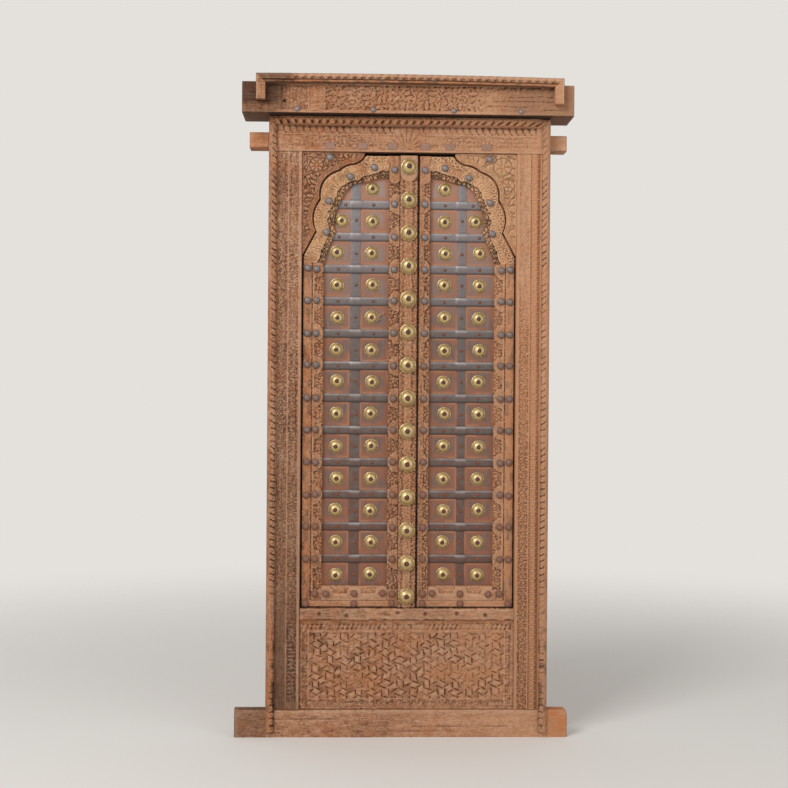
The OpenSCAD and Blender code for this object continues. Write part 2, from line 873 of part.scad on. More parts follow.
function upright_rivets(batten) =
    [for (i = [0:strap_rows - 1]) [field_mid(batten), strap_z(i) - strap_pitch / 2 + wander(i)]];

// Dome nails in the layers of wood that stand before the planks
function scallop_nail_u() = field_u - scallop_r / 3 - dome_d / 2;

function hinge_nails() = concat(
    [for (i = below_arch()) each [
        [jamb_gap + hinge_strip_w / 2, strap_z(i) + wander(i)],
        [scallop_nail_u(), strap_z(i) + wander(4 * i)]]],
    [[scallop_nail_u(), band_z + foot_strip_h]]);

function meeting_nails(batten) = concat(
    [for (i = [0:strap_rows - 1]) [batten - meeting_w / 2, strap_z(i) + wander(2 * i)]],
    [[batten - meeting_w / 2, leaf_top - meeting_pad_h / 2],
     [batten - meeting_w / 2, band_z + foot_strip_h]]);

function band_nails(batten) =
    let (reach = (field_edge(batten) - field_u - dome_d) / 2 - stray)
    [for (s = [-1, 0, 1]) [field_mid(batten) + s * reach, band_z + foot_strip_h + wander(s)]];

function strip_nails(batten) =
    [for (u = [jamb_gap + hinge_strip_w / 2, field_mid(batten), batten - meeting_w / 2])
        [u, leaf_z + foot_strip_h / 2]];

function arch_nail_places() = raised(arch_nails, [0, head_z]);

function dome_places(batten) = concat(hinge_nails(), meeting_nails(batten), band_nails(batten),
                                      strip_nails(batten), arch_nail_places());

// Round shanks from a face at y back into the wood, at a list of places
module shanks(places, y, length, room) {
    for (p = places) translate([p[0], y + length / 2, p[1]]) rotate([90, 0, 0])
        cylinder(d = shank_d + 2 * room, h = length, center = true);
}

// Every hole that a shutter's shanks need, from the battens' faces to their ends
module shank_holes(batten) {
    places = concat(boss_places(batten), strap_rivets(batten),
                    upright_rivets(batten), dome_places(batten));
    shanks(places, overlay_y - cut, overlay_t + shank_grip + cut + joint_clearance, shank_clearance);
}

// A low dome with its flat back on Y = 0
module dome(d, h) {
    radius = (d * d / 4 + h * h) / (2 * h);
    rotate([90, 0, 0]) intersection() {
        translate([0, 0, h - radius]) sphere(radius);
        cylinder(d = d + cut, h = h);
    }
}

// A hollow brass dome with a hole for its pin
module boss(d, h) {
    radius = (d * d / 4 + h * h) / (2 * h);
    rotate([90, 0, 0]) difference() {
        intersection() {
            translate([0, 0, h - radius]) sphere(radius);
            cylinder(d = d + cut, h = h);
        }
        intersection() {
            translate([0, 0, h - radius]) sphere(radius - brass_t);
            translate([0, 0, -cut]) cylinder(d = d, h = h);
        }
        cylinder(d = shank_d + 2 * shank_clearance, h = 3 * h, center = true);
    }
}

// The pin of a boss: a round head on top of the dome, and a shank into the wood
module boss_pin(h, reach, head_d) {
    head_h = head_d * 0.3;
    translate([0, -h - shank_clearance, 0]) {
        dome(head_d, head_h);
        rotate([-90, 0, 0]) cylinder(d = shank_d, h = h + shank_clearance + reach);
    }
}

// Shutters: their pieces

module hinge_plank(side, batten) {
    joint_u = field_mid(batten) + plank_joint;
    color(weathered) on_side(side) difference() {
        union() {
            block([pivot_u, plank_y, leaf_z], [joint_u, plank_back, leaf_top]);
            translate([pivot_u, pivot_y, leaf_z]) cylinder(d = plank_t, h = leaf_top - leaf_z);
            translate([pivot_u, pivot_y, opening_z - pintle_foot_l])
                cylinder(d = pintle_d, h = head_z + pintle_top_l - opening_z + pintle_foot_l);
        }
        shank_holes(batten);
    }
}

// The meeting edges slant alike on both shutters, so no light shows between them
module meeting_plank(side, batten, edge) {
    joint_u = field_mid(batten) + plank_joint;
    back_edge = edge + side * meeting_rake;
    color(weathered) on_side(side) difference() {
        translate([0, 0, leaf_z]) linear_extrude(leaf_top - leaf_z) polygon([
            [joint_u, plank_y], [edge, plank_y], [back_edge, plank_back], [joint_u, plank_back]]);
        shank_holes(batten);
        if (side < 0)
            shanks(astragal_places(), plank_y - cut, shank_grip + cut + joint_clearance, shank_clearance);
    }
}

// The inner line of an arch from its foot to its crown, drawn back by step
function inner_line(batten, step) =
    let (
        ends = concat([[field_u, -arch_foot]], inner_cusps, [[field_edge(batten), -arch_crown]]),
        line = raised(cusped(ends, inner_rises), [-step, step + head_z])
    )
    step == 0 ? line
    : concat([[line[0][0], arch_z]], line, [[field_edge(batten), line[len(line) - 1][1]]]);

module arch_outline(batten, step) {
    outer = raised(cusped(outer_cusps, outer_rises), [spandrel_gap, head_z - spandrel_gap]);
    intersection() {
        polygon(concat([[0, arch_z], outer[0] - [spandrel_gap, 0]], outer,
                       [[field_edge(batten), head_z]], reversed(inner_line(batten, step))));
        panel([jamb_gap, arch_z], [field_edge(batten), leaf_top]);
    }
}

module arch(side, batten) {
    color(sandy) on_side(side) difference() {
        union() {
            upright(batten_y, batten_base_t) arch_outline(batten, 0);
            upright(overlay_y, batten_top_t) arch_outline(batten, arch_step);
        }
        shank_holes(batten);
    }
}

module hinge_batten(side, batten) {
    groove_u = strip_u + strip_groove;
    color(carved) on_side(side) difference() {
        union() {
            block([jamb_gap, batten_y, band_z], [field_u, plank_y, arch_z]);
            upright(overlay_y, batten_top_t) {
                panel([jamb_gap, band_z], [strip_u, arch_z]);
                panel([groove_u, band_z], [groove_u + hinge_scallop_w / 5, arch_z]);
                intersection() {
                    for (i = below_arch()) translate([field_u - scallop_r, strap_z(i)]) circle(scallop_r);
                    panel([groove_u, band_z], [field_u, arch_z]);
                }
                panel([groove_u, band_z], [field_u, foot_pad_z]);
            }
        }
        shank_holes(batten);
    }
}

module meeting_batten(side, batten) {
    field = field_edge(batten);
    pad_z = leaf_top - meeting_pad_h + meeting_w / 2;
    color(carved) on_side(side) difference() {
        union() {
            block([field, batten_y, band_z], [batten, plank_y, leaf_top]);
            upright(overlay_y, batten_top_t) {
                if (side > 0) panel([batten - meeting_w / 2, band_z], [batten, leaf_top]);
                panel([field, pad_z], [batten, leaf_top]);
                panel([field, band_z], [batten, foot_pad_z]);
                intersection() {
                    union() {
                        translate([field + meeting_w / 2, pad_z]) circle(meeting_w / 2);
                        for (i = [0:strap_rows - 1])
                            translate([field + scallop_r, strap_z(i)]) circle(scallop_r);
                    }
                    panel([field, band_z], [batten, leaf_top]);
                }
            }
        }
        shank_holes(batten);
    }
}

module foot_band(side, batten) {
    color(carved) on_side(side) difference() {
        union() {
            block([field_u, batten_y, band_z], [field_edge(batten), plank_y, field_z]);
            upright(overlay_y, batten_top_t) intersection() {
                union() {
                    panel([field_u, band_z], [field_edge(batten), band_z + foot_strip_h]);
                    for (p = band_nails(batten))
                        translate([p[0], band_z + foot_strip_h]) circle(foot_lobe_r);
                }
                panel([field_u, band_z], [field_edge(batten), field_z]);
            }
        }
        shank_holes(batten);
    }
}

module foot_strip(side, batten) {
    color(carved) on_side(side) difference() {
        block([jamb_gap, overlay_y, leaf_z], [batten, plank_y, band_z]);
        shank_holes(batten);
    }
}

// The part of a shutter's face that the carved wood frames
module field_outline(batten) {
    foot = [[field_u, field_z], [field_edge(batten), field_z]];
    polygon(concat(foot, reversed(inner_line(batten, 0))));
}

module field_sheet(side, batten) {
    color(iron) on_side(side) difference() {
        upright(sheet_y, sheet_t) field_outline(batten);
        shank_holes(batten);
    }
}

module upright_strap(side, batten) {
    middle = field_mid(batten);
    color(iron) on_side(side) difference() {
        upright(upright_y, upright_t) intersection() {
            panel([middle - strap_w / 2, field_z], [middle + strap_w / 2, head_z]);
            field_outline(batten);
        }
        shank_holes(batten);
    }
}

// A cross strap lies on the sheet and is forged up over the upright strap
module cross_straps(side, batten) {
    middle = field_mid(batten);
    rise = strap_w / 2 + joint_clearance;
    ramp = rise + strap_ramp;
    face = [[field_u, strap_y], [middle - ramp, strap_y], [middle - rise, hump_y],
            [middle + rise, hump_y], [middle + ramp, strap_y], [field_edge(batten), strap_y]];
    back = [[field_edge(batten), sheet_y], [middle + rise, sheet_y], [middle + rise, upright_y],
            [middle - rise, upright_y], [middle - rise, sheet_y], [field_u, sheet_y]];
    color(iron) on_side(side) difference() {
        intersection() {
            for (i = [0:strap_rows - 1]) translate([0, 0, strap_z(i) - strap_w / 2])
                linear_extrude(strap_w) polygon(concat(face, back));
            upright(hump_y - cut, plank_y - hump_y + cut) field_outline(batten);
        }
        shank_holes(batten);
    }
}

module field_bosses(side, batten) {
    color(brass) on_side(side)
        for (p = boss_places(batten)) translate([p[0], sheet_y, p[1]]) boss(boss_d, boss_h);
}

module field_boss_pins(side, batten) {
    color(iron) on_side(side)
        for (p = boss_places(batten)) translate([p[0], sheet_y, p[1]])
            boss_pin(boss_h, plank_y - sheet_y + shank_grip, pin_head_d);
}

module rivets(side, batten) {
    color(iron) on_side(side) {
        for (p = strap_rivets(batten)) translate([p[0], strap_y, p[1]]) dome(rivet_d, rivet_h);
        shanks(strap_rivets(batten), strap_y - cut, plank_y - strap_y + shank_grip + cut, 0);
        for (p = upright_rivets(batten)) translate([p[0], upright_y, p[1]]) dome(rivet_d, rivet_h);
        shanks(upright_rivets(batten), upright_y - cut, plank_y - upright_y + shank_grip + cut, 0);
    }
}

module dome_nails(side, batten) {
    color(iron) on_side(side) {
        for (p = dome_places(batten)) translate([p[0], overlay_y, p[1]]) dome(dome_d, dome_h);
        shanks(dome_places(batten), overlay_y - cut, overlay_t + shank_grip + cut, 0);
    }
}

// Ledges hold the planks together at the back: 0 at the foot, 1 halfway, 2 at the top
module ledge(side, edge, step) {
    low = leaf_z + ledge_margin;
    high = leaf_top - ledge_margin - ledge_h;
    z = low + (high - low) * step / 2;
    c = ledge_chamfer;
    section = [[0, 0], [ledge_t - c, 0], [ledge_t, c],
               [ledge_t, ledge_h - c], [ledge_t - c, ledge_h], [0, ledge_h]];
    color(weathered) on_side(side) translate([pivot_u + ledge_start, plank_back, z])
        rotate([90, 0, 90]) linear_extrude(edge - meeting_gap - pivot_u - ledge_start)
            polygon(section);
}

function astragal_places() =
    [for (i = [0:astragal_count - 1])
        [half + astragal_x, leaf_z + astragal_margin + i * astragal_pitch]];

// The astragal covers the meeting edges and is carried by the left shutter
module astragal() {
    pad_r = astragal_w / 2 - cut;
    low = left_batten;
    high = left_batten + astragal_w;
    ridge = (low + high) / 2;
    block_z = leaf_top - astragal_block + pad_r;
    color(carved) on_side(-1) difference() {
        union() {
            block([low, plank_y - astragal_base_t, leaf_z], [high, plank_y, leaf_top]);
            upright(astragal_y, astragal_pad_t) {
                for (p = astragal_places()) translate(p) circle(pad_r);
                panel([ridge - astragal_ridge / 2, leaf_z], [ridge + astragal_ridge / 2, leaf_top]);
                translate([ridge, block_z]) circle(pad_r);
                panel([low, block_z], [high, leaf_top]);
            }
        }
        shanks(astragal_places(), astragal_y - cut, plank_y - astragal_y + shank_grip, shank_clearance);
    }
}

module astragal_bosses() {
    color(brass) on_side(-1)
        for (p = astragal_places()) translate([p[0], astragal_y, p[1]]) boss(big_boss_d, big_boss_h);
}

module astragal_pins() {
    color(iron) on_side(-1)
        for (p = astragal_places()) translate([p[0], astragal_y, p[1]])
            boss_pin(big_boss_h, plank_y - astragal_y + shank_grip, big_pin_head_d);
}

sill_beam();
left_jamb();
right_jamb();
sill_rail();
head_beam();
apron_panel();
left_roll();
right_roll();
top_roll();
lintel();
cornice_strip();
left_cornice_leg();
right_cornice_leg();
left_spandrel();
right_spandrel();
lintel_nails();
spandrel_nails();
head_plates();
hinge_plank(-1, left_batten);  // left_hinge_plank
meeting_plank(-1, left_batten, left_edge + meeting_lip);  // left_meeting_plank
arch(-1, left_batten);  // left_arch
hinge_batten(-1, left_batten);  // left_hinge_batten
meeting_batten(-1, left_batten);  // left_meeting_batten
foot_band(-1, left_batten);  // left_foot_band
foot_strip(-1, left_batten);  // left_foot_strip
field_sheet(-1, left_batten);  // left_field_sheet
upright_strap(-1, left_batten);  // left_upright_strap
cross_straps(-1, left_batten);  // left_cross_straps
field_bosses(-1, left_batten);  // left_bosses
field_boss_pins(-1, left_batten);  // left_boss_pins
rivets(-1, left_batten);  // left_rivets
dome_nails(-1, left_batten);  // left_dome_nails
ledge(-1, left_edge, 2);  // left_top_ledge
ledge(-1, left_edge, 1);  // left_middle_ledge
ledge(-1, left_edge, 0);  // left_bottom_ledge
astragal();
astragal_bosses();
astragal_pins();
hinge_plank(1, right_batten);  // right_hinge_plank
meeting_plank(1, right_batten, right_batten);  // right_meeting_plank
arch(1, right_batten);  // right_arch
hinge_batten(1, right_batten);  // right_hinge_batten
meeting_batten(1, right_batten);  // right_meeting_batten
foot_band(1, right_batten);  // right_foot_band
foot_strip(1, right_batten);  // right_foot_strip
field_sheet(1, right_batten);  // right_field_sheet
upright_strap(1, right_batten);  // right_upright_strap
cross_straps(1, right_batten);  // right_cross_straps
field_bosses(1, right_batten);  // right_bosses
field_boss_pins(1, right_batten);  // right_boss_pins
rivets(1, right_batten);  // right_rivets
dome_nails(1, right_batten);  // right_dome_nails
ledge(1, right_batten, 2);  // right_top_ledge
ledge(1, right_batten, 1);  // right_middle_ledge
ledge(1, right_batten, 0);  // right_bottom_ledge
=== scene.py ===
import math

import bpy
import numpy as np
from mathutils import Matrix, Vector


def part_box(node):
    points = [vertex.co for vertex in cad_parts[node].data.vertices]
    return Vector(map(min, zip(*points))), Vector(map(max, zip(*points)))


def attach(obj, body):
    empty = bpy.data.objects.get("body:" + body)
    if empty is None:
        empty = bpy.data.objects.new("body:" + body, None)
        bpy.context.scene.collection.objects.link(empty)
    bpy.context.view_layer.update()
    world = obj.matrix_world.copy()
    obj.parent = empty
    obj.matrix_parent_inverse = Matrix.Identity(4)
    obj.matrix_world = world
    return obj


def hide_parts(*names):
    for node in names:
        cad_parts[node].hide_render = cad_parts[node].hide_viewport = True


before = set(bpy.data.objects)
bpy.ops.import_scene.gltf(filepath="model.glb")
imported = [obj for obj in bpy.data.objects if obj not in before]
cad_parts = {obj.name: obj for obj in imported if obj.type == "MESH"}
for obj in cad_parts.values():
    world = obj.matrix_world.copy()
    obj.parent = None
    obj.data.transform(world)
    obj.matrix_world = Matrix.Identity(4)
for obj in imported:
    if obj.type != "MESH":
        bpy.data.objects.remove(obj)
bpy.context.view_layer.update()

bl_info = {
    "name": "Carved Teak Window",
    "version": (1, 0, 0),
    "blender": (4, 5, 0),
    "location": "View3D > Sidebar > Window",
    "description": "Carves, finishes and stages a teak window with two strapped shutters",
    "category": "Object",
}

# Sizes that the frame gives, in metres. u runs from a jamb's inner face to the meeting edge.
MM = 0.001
SIDES = {"left": -1, "right": 1}


def edge(node, end, axis):
    """One face of a node's box: end 0 is the lowest and 1 the highest along the axis."""
    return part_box(node)[end]["XYZ".index(axis)]


HALF = edge("right_jamb", 0, "X")
FRAME_HALF = edge("right_jamb", 1, "X")
FRONT = edge("right_jamb", 0, "Y")
BACK = edge("right_jamb", 1, "Y")
SILL_TOP = edge("sill_beam", 1, "Z")
RAIL_LOW = edge("sill_rail", 0, "Z")
RAIL_TOP = edge("sill_rail", 1, "Z")
HEAD_LOW = edge("head_beam", 0, "Z")
HEAD_TOP = edge("head_beam", 1, "Z")
ROLL_FOOT = edge("left_roll", 0, "Z")
ROLL_R = (edge("left_roll", 1, "X") - edge("left_roll", 0, "X")) / 2
ROLL_X = FRAME_HALF - ROLL_R
LEAF_TOP = edge("left_meeting_batten", 1, "Z")
PLANK_Y = edge("left_field_sheet", 1, "Y")
SHEET_Y = edge("left_field_sheet", 0, "Y")
OVERLAY_Y = edge("left_hinge_batten", 0, "Y")
SPANDREL_Y = edge("left_spandrel", 0, "Y")
SPANDREL_BACK = edge("left_spandrel", 1, "Y")
STRAP_Y = SHEET_Y - 4 * MM
UPRIGHT_Y = edge("left_upright_strap", 0, "Y")
HUMP_Y = edge("left_cross_straps", 0, "Y")
STRAP_W = 28 * MM
STRAP_ROWS = 12
STRAP_Z = np.linspace(edge("left_cross_straps", 0, "Z") + STRAP_W / 2,
                      edge("left_cross_straps", 1, "Z") - STRAP_W / 2, STRAP_ROWS)
LAYER = 7 * MM
BAND_Z = edge("left_hinge_batten", 0, "Z")
ARCH_Z = edge("left_hinge_batten", 1, "Z")
FIELD_Z = edge("left_field_sheet", 0, "Z")
STRIP_W = 28 * MM
STRIP_GROOVE = 2.5 * MM
SCALLOP_R = 33 * MM

# The cusps of an arch, as distance from the jamb and drop below the head, foot to crown
OUTER_CUSPS = np.array([[0, -340], [43, -259], [56, -153], [120, -56], [168, -35], [207, 0]]) * MM
OUTER_RISES = np.array([0, 16, 24, 5, -7]) * MM
INNER_CUSPS = np.array([[110, -264], [126, -163], [205, -97]]) * MM
INNER_RISES = np.array([3, 12, 20, 4]) * MM
ARCH_FOOT = HEAD_LOW - ARCH_Z
SPANDREL_GAP = 4.5 * MM
ARCH_STEP = 13 * MM
ROSETTE = np.array([46, -42]) * MM


def linear(code):
    """An sRGB hex colour as linear red, green and blue."""
    parts = np.array([int(code[i:i + 2], 16) for i in (1, 3, 5)]) / 255
    return tuple(np.where(parts <= 0.04045, parts / 12.92, ((parts + 0.055) / 1.055) ** 2.4))


def colour(label, words, code):
    """A colour property with its default as an sRGB hex value."""
    return bpy.props.FloatVectorProperty(
        name=label, description=words, subtype="COLOR", size=3, min=0, max=1, default=linear(code))


def length(label, words, value):
    """A length property with its default in metres."""
    return bpy.props.FloatProperty(
        name=label, description=words, unit="LENGTH", min=0, default=value)


class WindowCarving(bpy.types.PropertyGroup):
    """Sizes of the carving."""

    fine: length("Fine step", "Cell size on the finest carving", 2.3 * MM)
    coarse: length("Coarse step", "Cell size on the jambs and side rolls", 2.6 * MM)
    frame_depth: length("Frame depth", "Depth of the sunk carving on the frame", 4 * MM)
    roll_pitch: length("Roll unit", "Length of one leaf along the rolls", 44 * MM)
    tooth_pitch: length("Tooth unit", "Spacing of the leaves on the head", 22 * MM)
    lattice_pitch: length("Lattice pitch", "Spacing of the apron's straps", 46 * MM)
    lattice_bar: length("Lattice strap", "Width of the apron's straps", 20 * MM)
    lattice_depth: length("Lattice depth", "Depth of the slits beside the apron's straps", 5 * MM)
    scale_pitch: length("Scale pitch", "Spacing of the arcs on the arches", 10 * MM)
    petal_pitch: length("Petal pitch", "Spacing of the petals along an arch's edges", 19 * MM)
    spandrel_depth: length("Spandrel depth", "Depth of a spandrel's carved ground", 7 * MM)


class WindowFinish(bpy.types.PropertyGroup):
    """Colours of the finishes."""

    teak: colour("Teak", "Weathered teak of the frame", "#b17c59")
    teak_dark: colour("Teak grain", "Dark grain of the frame", "#6c442c")
    teak_light: colour("Teak bleached", "Bleached grain of the frame", "#cfa688")
    carved: colour("Carved teak", "Carved teak of the lintel and apron", "#ae744d")
    sandy: colour("Arch teak", "Sandy wood of the arches", "#d6a272")
    dirt_and_shade: colour("Dirt", "Dirt in the carving's pits", "#26170f")
    # Grime in pores and pits; the same colour is painted as shade into pits, gaps, joints and undersides.
    fresh: colour("Fresh wood", "Wood that was cut later", "#bd7747")
    warm: colour("Warm patches", "Orange patches of the teak", "#a5623a")
    # Painted light: the teak is mixed towards this colour from left to right, lighter on the right side.
    painted_light_right: colour("Sunlit side", "Teak on the side that stood in the sun", "#d09c77")
    # Mixed in towards the window's foot: the teak is darker towards the bottom.
    low: colour("Damp foot", "Teak that damp has darkened", "#5b3d2c")
    iron: colour("Iron", "Forged iron of the straps", "#675d59")
    rust: colour("Rust", "Rust on the iron", "#634337")
    sheet: colour("Sheet iron", "Patina of the sheet iron field", "#715a51")
    brass: colour("Brass", "Cast brass of the bosses", "#c9ad76")


class WindowStage(bpy.types.PropertyGroup):
    """Camera, lamps and floor."""

    place: bpy.props.FloatVectorProperty(
        name="Camera place", description="Where the camera stands", subtype="TRANSLATION",
        default=(-0.1858, -4.4294, 1.1575))
    yaw: bpy.props.FloatProperty(
        name="Camera yaw", description="Turn of the camera to the right of +Y", subtype="ANGLE",
        default=math.radians(1.799))
    pitch: bpy.props.FloatProperty(
        name="Camera pitch", description="Tilt of the camera upwards", subtype="ANGLE",
        default=math.radians(-0.265))
    roll: bpy.props.FloatProperty(
        name="Camera roll", description="Roll of the camera", subtype="ANGLE",
        default=math.radians(0.399))
    lens: bpy.props.FloatProperty(
        name="Lens", description="Focal length on a 36 mm sensor, in millimetres", default=60.59)
    key_power: bpy.props.FloatProperty(
        name="Key lamp", description="Power of the soft lamp at the upper left", subtype="POWER",
        default=190)
    fill_power: bpy.props.FloatProperty(
        name="Fill lamp", description="Power of the soft lamp at the right", subtype="POWER",
        default=40)
    sky: bpy.props.FloatProperty(
        name="Room light", description="Strength of the even light from all sides", default=0.5)
    floor: colour("Floor", "Pale floor", "#e4e1dd")


# Shapes on grids

def grid(across, along, step):
    """Two parameters from 0 to 1, across the columns and along the rows, in cells of about a step."""
    return np.meshgrid(np.linspace(0, 1, max(2, round(across / step)) + 1),
                       np.linspace(0, 1, max(2, round(along / step)) + 1))


def ease(low, high, value):
    """0 up to low, 1 from high on, and a smooth cubic between."""
    t = np.clip((value - low) / (high - low), 0, 1)
    return t * t * (3 - 2 * t)


def crown(d):
    """A half circle over -1 to 1: the root of one less d squared."""
    return np.sqrt(np.clip(1 - d * d, 0, 1))


def between(low, high, value, soft=1.5 * MM):
    """1 from low to high, easing to 0 over the soft width inside both ends."""
    return ease(low, low + soft, value) * (1 - ease(high - soft, high, value))


def chance(i, j, seed):
    """A fixed pseudo-random number from 0 to 1 for each pair of whole numbers, from a sine's far digits."""
    return np.modf(np.abs(np.sin(i * 127.1 + j * 311.7 + seed * 74.7) * 43758.5453))[0]


def noise(a, b, seed):
    """Smooth noise from 0 to 1: chance at the whole-number corners, blended by a cubic."""
    i, j = np.floor(a), np.floor(b)
    s, t = ease(0, 1, a - i), ease(0, 1, b - j)
    low = chance(i, j, seed) * (1 - s) + chance(i + 1, j, seed) * s
    high = chance(i, j + 1, seed) * (1 - s) + chance(i + 1, j + 1, seed) * s
    return low * (1 - t) + high * t


def rough(a, b, size, seed):
    """Two octaves of noise about 0, the coarse one of the given size."""
    return noise(a / size, b / size, seed) + 0.5 * noise(2.3 * a / size, 2.3 * b / size, seed + 1) - 0.75


def hollows(depth, a, b, size, seed):
    """Shallow hollows about a depth: the two octaves of noise, lifted above 0."""
    return depth * (0.75 + rough(a, b, size, seed))


def valley(value, middle, width):
    """A narrow bump of height 1: e to the minus square of the distance from its middle in widths."""
    return np.exp(-((value - middle) / width) ** 2)


def leaf(a, b):
    """A pointed leaf over -1 to 1: a half-round between the parabolas of one less a squared, with a vein."""
    room = np.clip(1 - a * a, 0, 1)
    side = np.minimum(np.abs(b) / np.maximum(room, 0.02), 1)
    return crown(side) * (1 - 0.4 * valley(b, 0, 0.2)) * ease(0, 0.2, room)


def turned(a, b, centre, angle):
    """The coordinates from a centre along and across a direction."""
    a, b = a - centre[0], b - centre[1]
    return a * np.cos(angle) + b * np.sin(angle), b * np.cos(angle) - a * np.sin(angle)


def foliage(a, b, size, lean, spread, seed):
    """Leaves on a jittered square lattice, each turned by chance about the lean and laid over its
    neighbours in a chance order with a slit round it: the height of the uppermost leaf at each point."""
    cell = 0.5 * size[0]
    i0, j0 = np.floor(a / cell), np.floor(b / cell)
    best, top = np.zeros_like(a), np.full_like(a, -1.0)
    for di in (-1, 0, 1):
        for dj in (-1, 0, 1):
            i, j = i0 + di, j0 + dj
            centre = ((i + 0.3 + 0.4 * chance(i, j, seed)) * cell,
                      (j + 0.3 + 0.4 * chance(i, j, seed + 1)) * cell)
            p, q = turned(a, b, centre, lean + spread * (chance(i, j, seed + 2) - 0.5))
            p, q = 2 * p / size[0], 2 * q / size[1]
            order = chance(i, j, seed + 3)
            over = (leaf(p / 1.15, q / 1.4) > 0) & (order > top)
            best = np.where(over, (0.7 + 0.3 * order) * leaf(p, q), best)
            top = np.where(over, order, top)
    return best


def weave(x, up, pitch, bar):
    """Three families of straps at 90, 30 and 150 degrees, woven: along each strap a cosine tells where it
    lies over and where under, and at each point the straps are laid lowest first, each with a slit at its
    edges."""
    rise = math.sqrt(3) / 2
    waves, offs = [], []
    for direction, shift, sense, base in ((90, 0.5, 1, 0.25), (30, 0.0, -1, 0.5), (150, 0.0, 1, -0.5)):
        c, s = math.cos(math.radians(direction)), math.sin(math.radians(direction))
        across, along = c * up - s * x, c * x + s * up
        number = np.round(across / pitch - shift)
        offs.append((across - (number + shift) * pitch) / (bar / 2))
        turn = base + (number if direction != 90 else -1 - number) / 2 * (1 if direction != 150 else -1)
        waves.append(sense * np.cos(2 * np.pi * (along * rise / pitch - turn)))
    waves, offs = np.stack(waves), np.stack(offs)
    height = np.full_like(x, 0.5)
    for rank in np.argsort(waves, 0):
        wave = np.take_along_axis(waves, rank[None], 0)[0]
        off = np.abs(np.take_along_axis(offs, rank[None], 0)[0])
        face = (0.5 + 0.2 * wave) + 0.3 * crown(0.95 * off)
        slit = 0.5 * (1 - ease(0.1, 0.9, wave))
        height = np.where(off < 1, face, np.where(off < 1.25, np.minimum(height, slit), height))
    return height


def rosette(a, b, radius, petals):
    """A flower: petals as a half-round ring cut by the cosine of the angle, round a domed eye."""
    r, angle = np.hypot(a, b) / radius, np.arctan2(b, a)
    petal = crown((r - 0.62) / 0.38) * np.abs(np.cos(petals / 2 * angle)) ** 0.6
    return np.maximum(petal, crown(r / 0.24))


def scored(along, across, spots, seed):
    """Cracks along the grain: for each start, end and height a thin valley that wanders with noise."""
    depth = np.zeros_like(along)
    for k, (start, end, height) in enumerate(spots):
        line = height + 5 * MM * (noise(along / 0.07, along * 0, seed + k) - 0.5)
        cleft = valley(across, line, 1.5 * MM)
        depth = np.maximum(depth, cleft * between(start, end, along, 25 * MM))
    return depth


def worn_edge(*distances, radius=3 * MM):
    """The depth of a quarter-round on each edge, from the distances to the edges."""
    return sum(radius * (1 - crown(np.clip(1 - d / radius, 0, 1))) for d in distances)


def standing(cut, cells=4, scale=3 * MM):
    """How far a point stands above the mean of its neighbours, less a part of its depth: -1 pit to 1
    crest."""
    mean = cut
    for axis in (0, 1):
        width = min(cells, (cut.shape[axis] - 1) // 2)
        pads = [(width, width) if k == axis else (0, 0) for k in (0, 1)]
        total = np.cumsum(np.insert(np.pad(mean, pads, mode="edge"), 0, 0, axis=axis), axis=axis)
        span = 2 * width + 1
        size = total.shape[axis]
        mean = (np.take(total, range(span, size), axis) - np.take(total, range(size - span), axis)) / span
    return np.clip((mean - cut) / scale - 0.02 * cut / MM, -1, 1)


def slab(x, z, y, back, relief, tint=0.0):
    """A closed block: the grid is its front, walls run back from the rim, and quads close the back."""
    y, relief, tint = (part + np.zeros_like(x) for part in (y, relief, tint))
    n, m = x.shape
    turn = (x[n // 2, -1] - x[n // 2, 0]) * (z[-1, m // 2] - z[0, m // 2])
    turn -= (z[n // 2, -1] - z[n // 2, 0]) * (x[-1, m // 2] - x[0, m // 2])
    if turn < 0:
        x, y, z, relief, tint = (part[:, ::-1] for part in (x, y, z, relief, tint))
    rims = [np.stack([x[:, k], np.full(n, back), z[:, k]], -1) for k in (0, -1)]
    points = np.concatenate([np.stack([x, y, z], -1).reshape(-1, 3)] + rims)
    at = np.arange(n * m).reshape(n, m)
    left, right = n * m + np.arange(n), n * m + n + np.arange(n)
    low, high = slice(None, -1), slice(1, None)
    quads = np.concatenate([
        np.stack([at[low, low], at[low, high], at[high, high], at[high, low]], -1).reshape(-1, 4),
        np.stack([at[low, 0], at[high, 0], left[high], left[low]], -1),
        np.stack([at[high, -1], at[low, -1], right[low], right[high]], -1),
        np.stack([left[low], left[high], right[high], right[low]], -1)])
    caps = [[left[0], right[0], *at[0, ::-1]], [*at[-1], right[-1], left[-1]]]
    ends = np.zeros(2 * n)
    side_tint = np.concatenate([tint[:, 0], tint[:, -1]])
    return {"points": points, "quads": quads, "caps": caps,
            "relief": np.concatenate([relief.ravel(), ends]),
            "tint": np.concatenate([tint.ravel(), side_tint])}


def beam(low, high, step, grain, tint=0.0, seed=0):
    """A sawn block: a flat front with worn edges and shallow hollows along the grain axis, 0 for X or 2
    for Z."""
    size = np.array(high) - np.array(low)
    u, v = grid(size[0], size[2], step)
    x, z = low[0] + u * size[0], low[2] + v * size[2]
    along, across = (x, z) if grain == 0 else (z, x)
    cut = hollows(1.2 * MM, along / 6, across, 22 * MM, seed)
    cut = cut + worn_edge(u * size[0], (1 - u) * size[0], v * size[2], (1 - v) * size[2])
    return slab(x, z, low[1] + cut, high[1], standing(cut), tint)


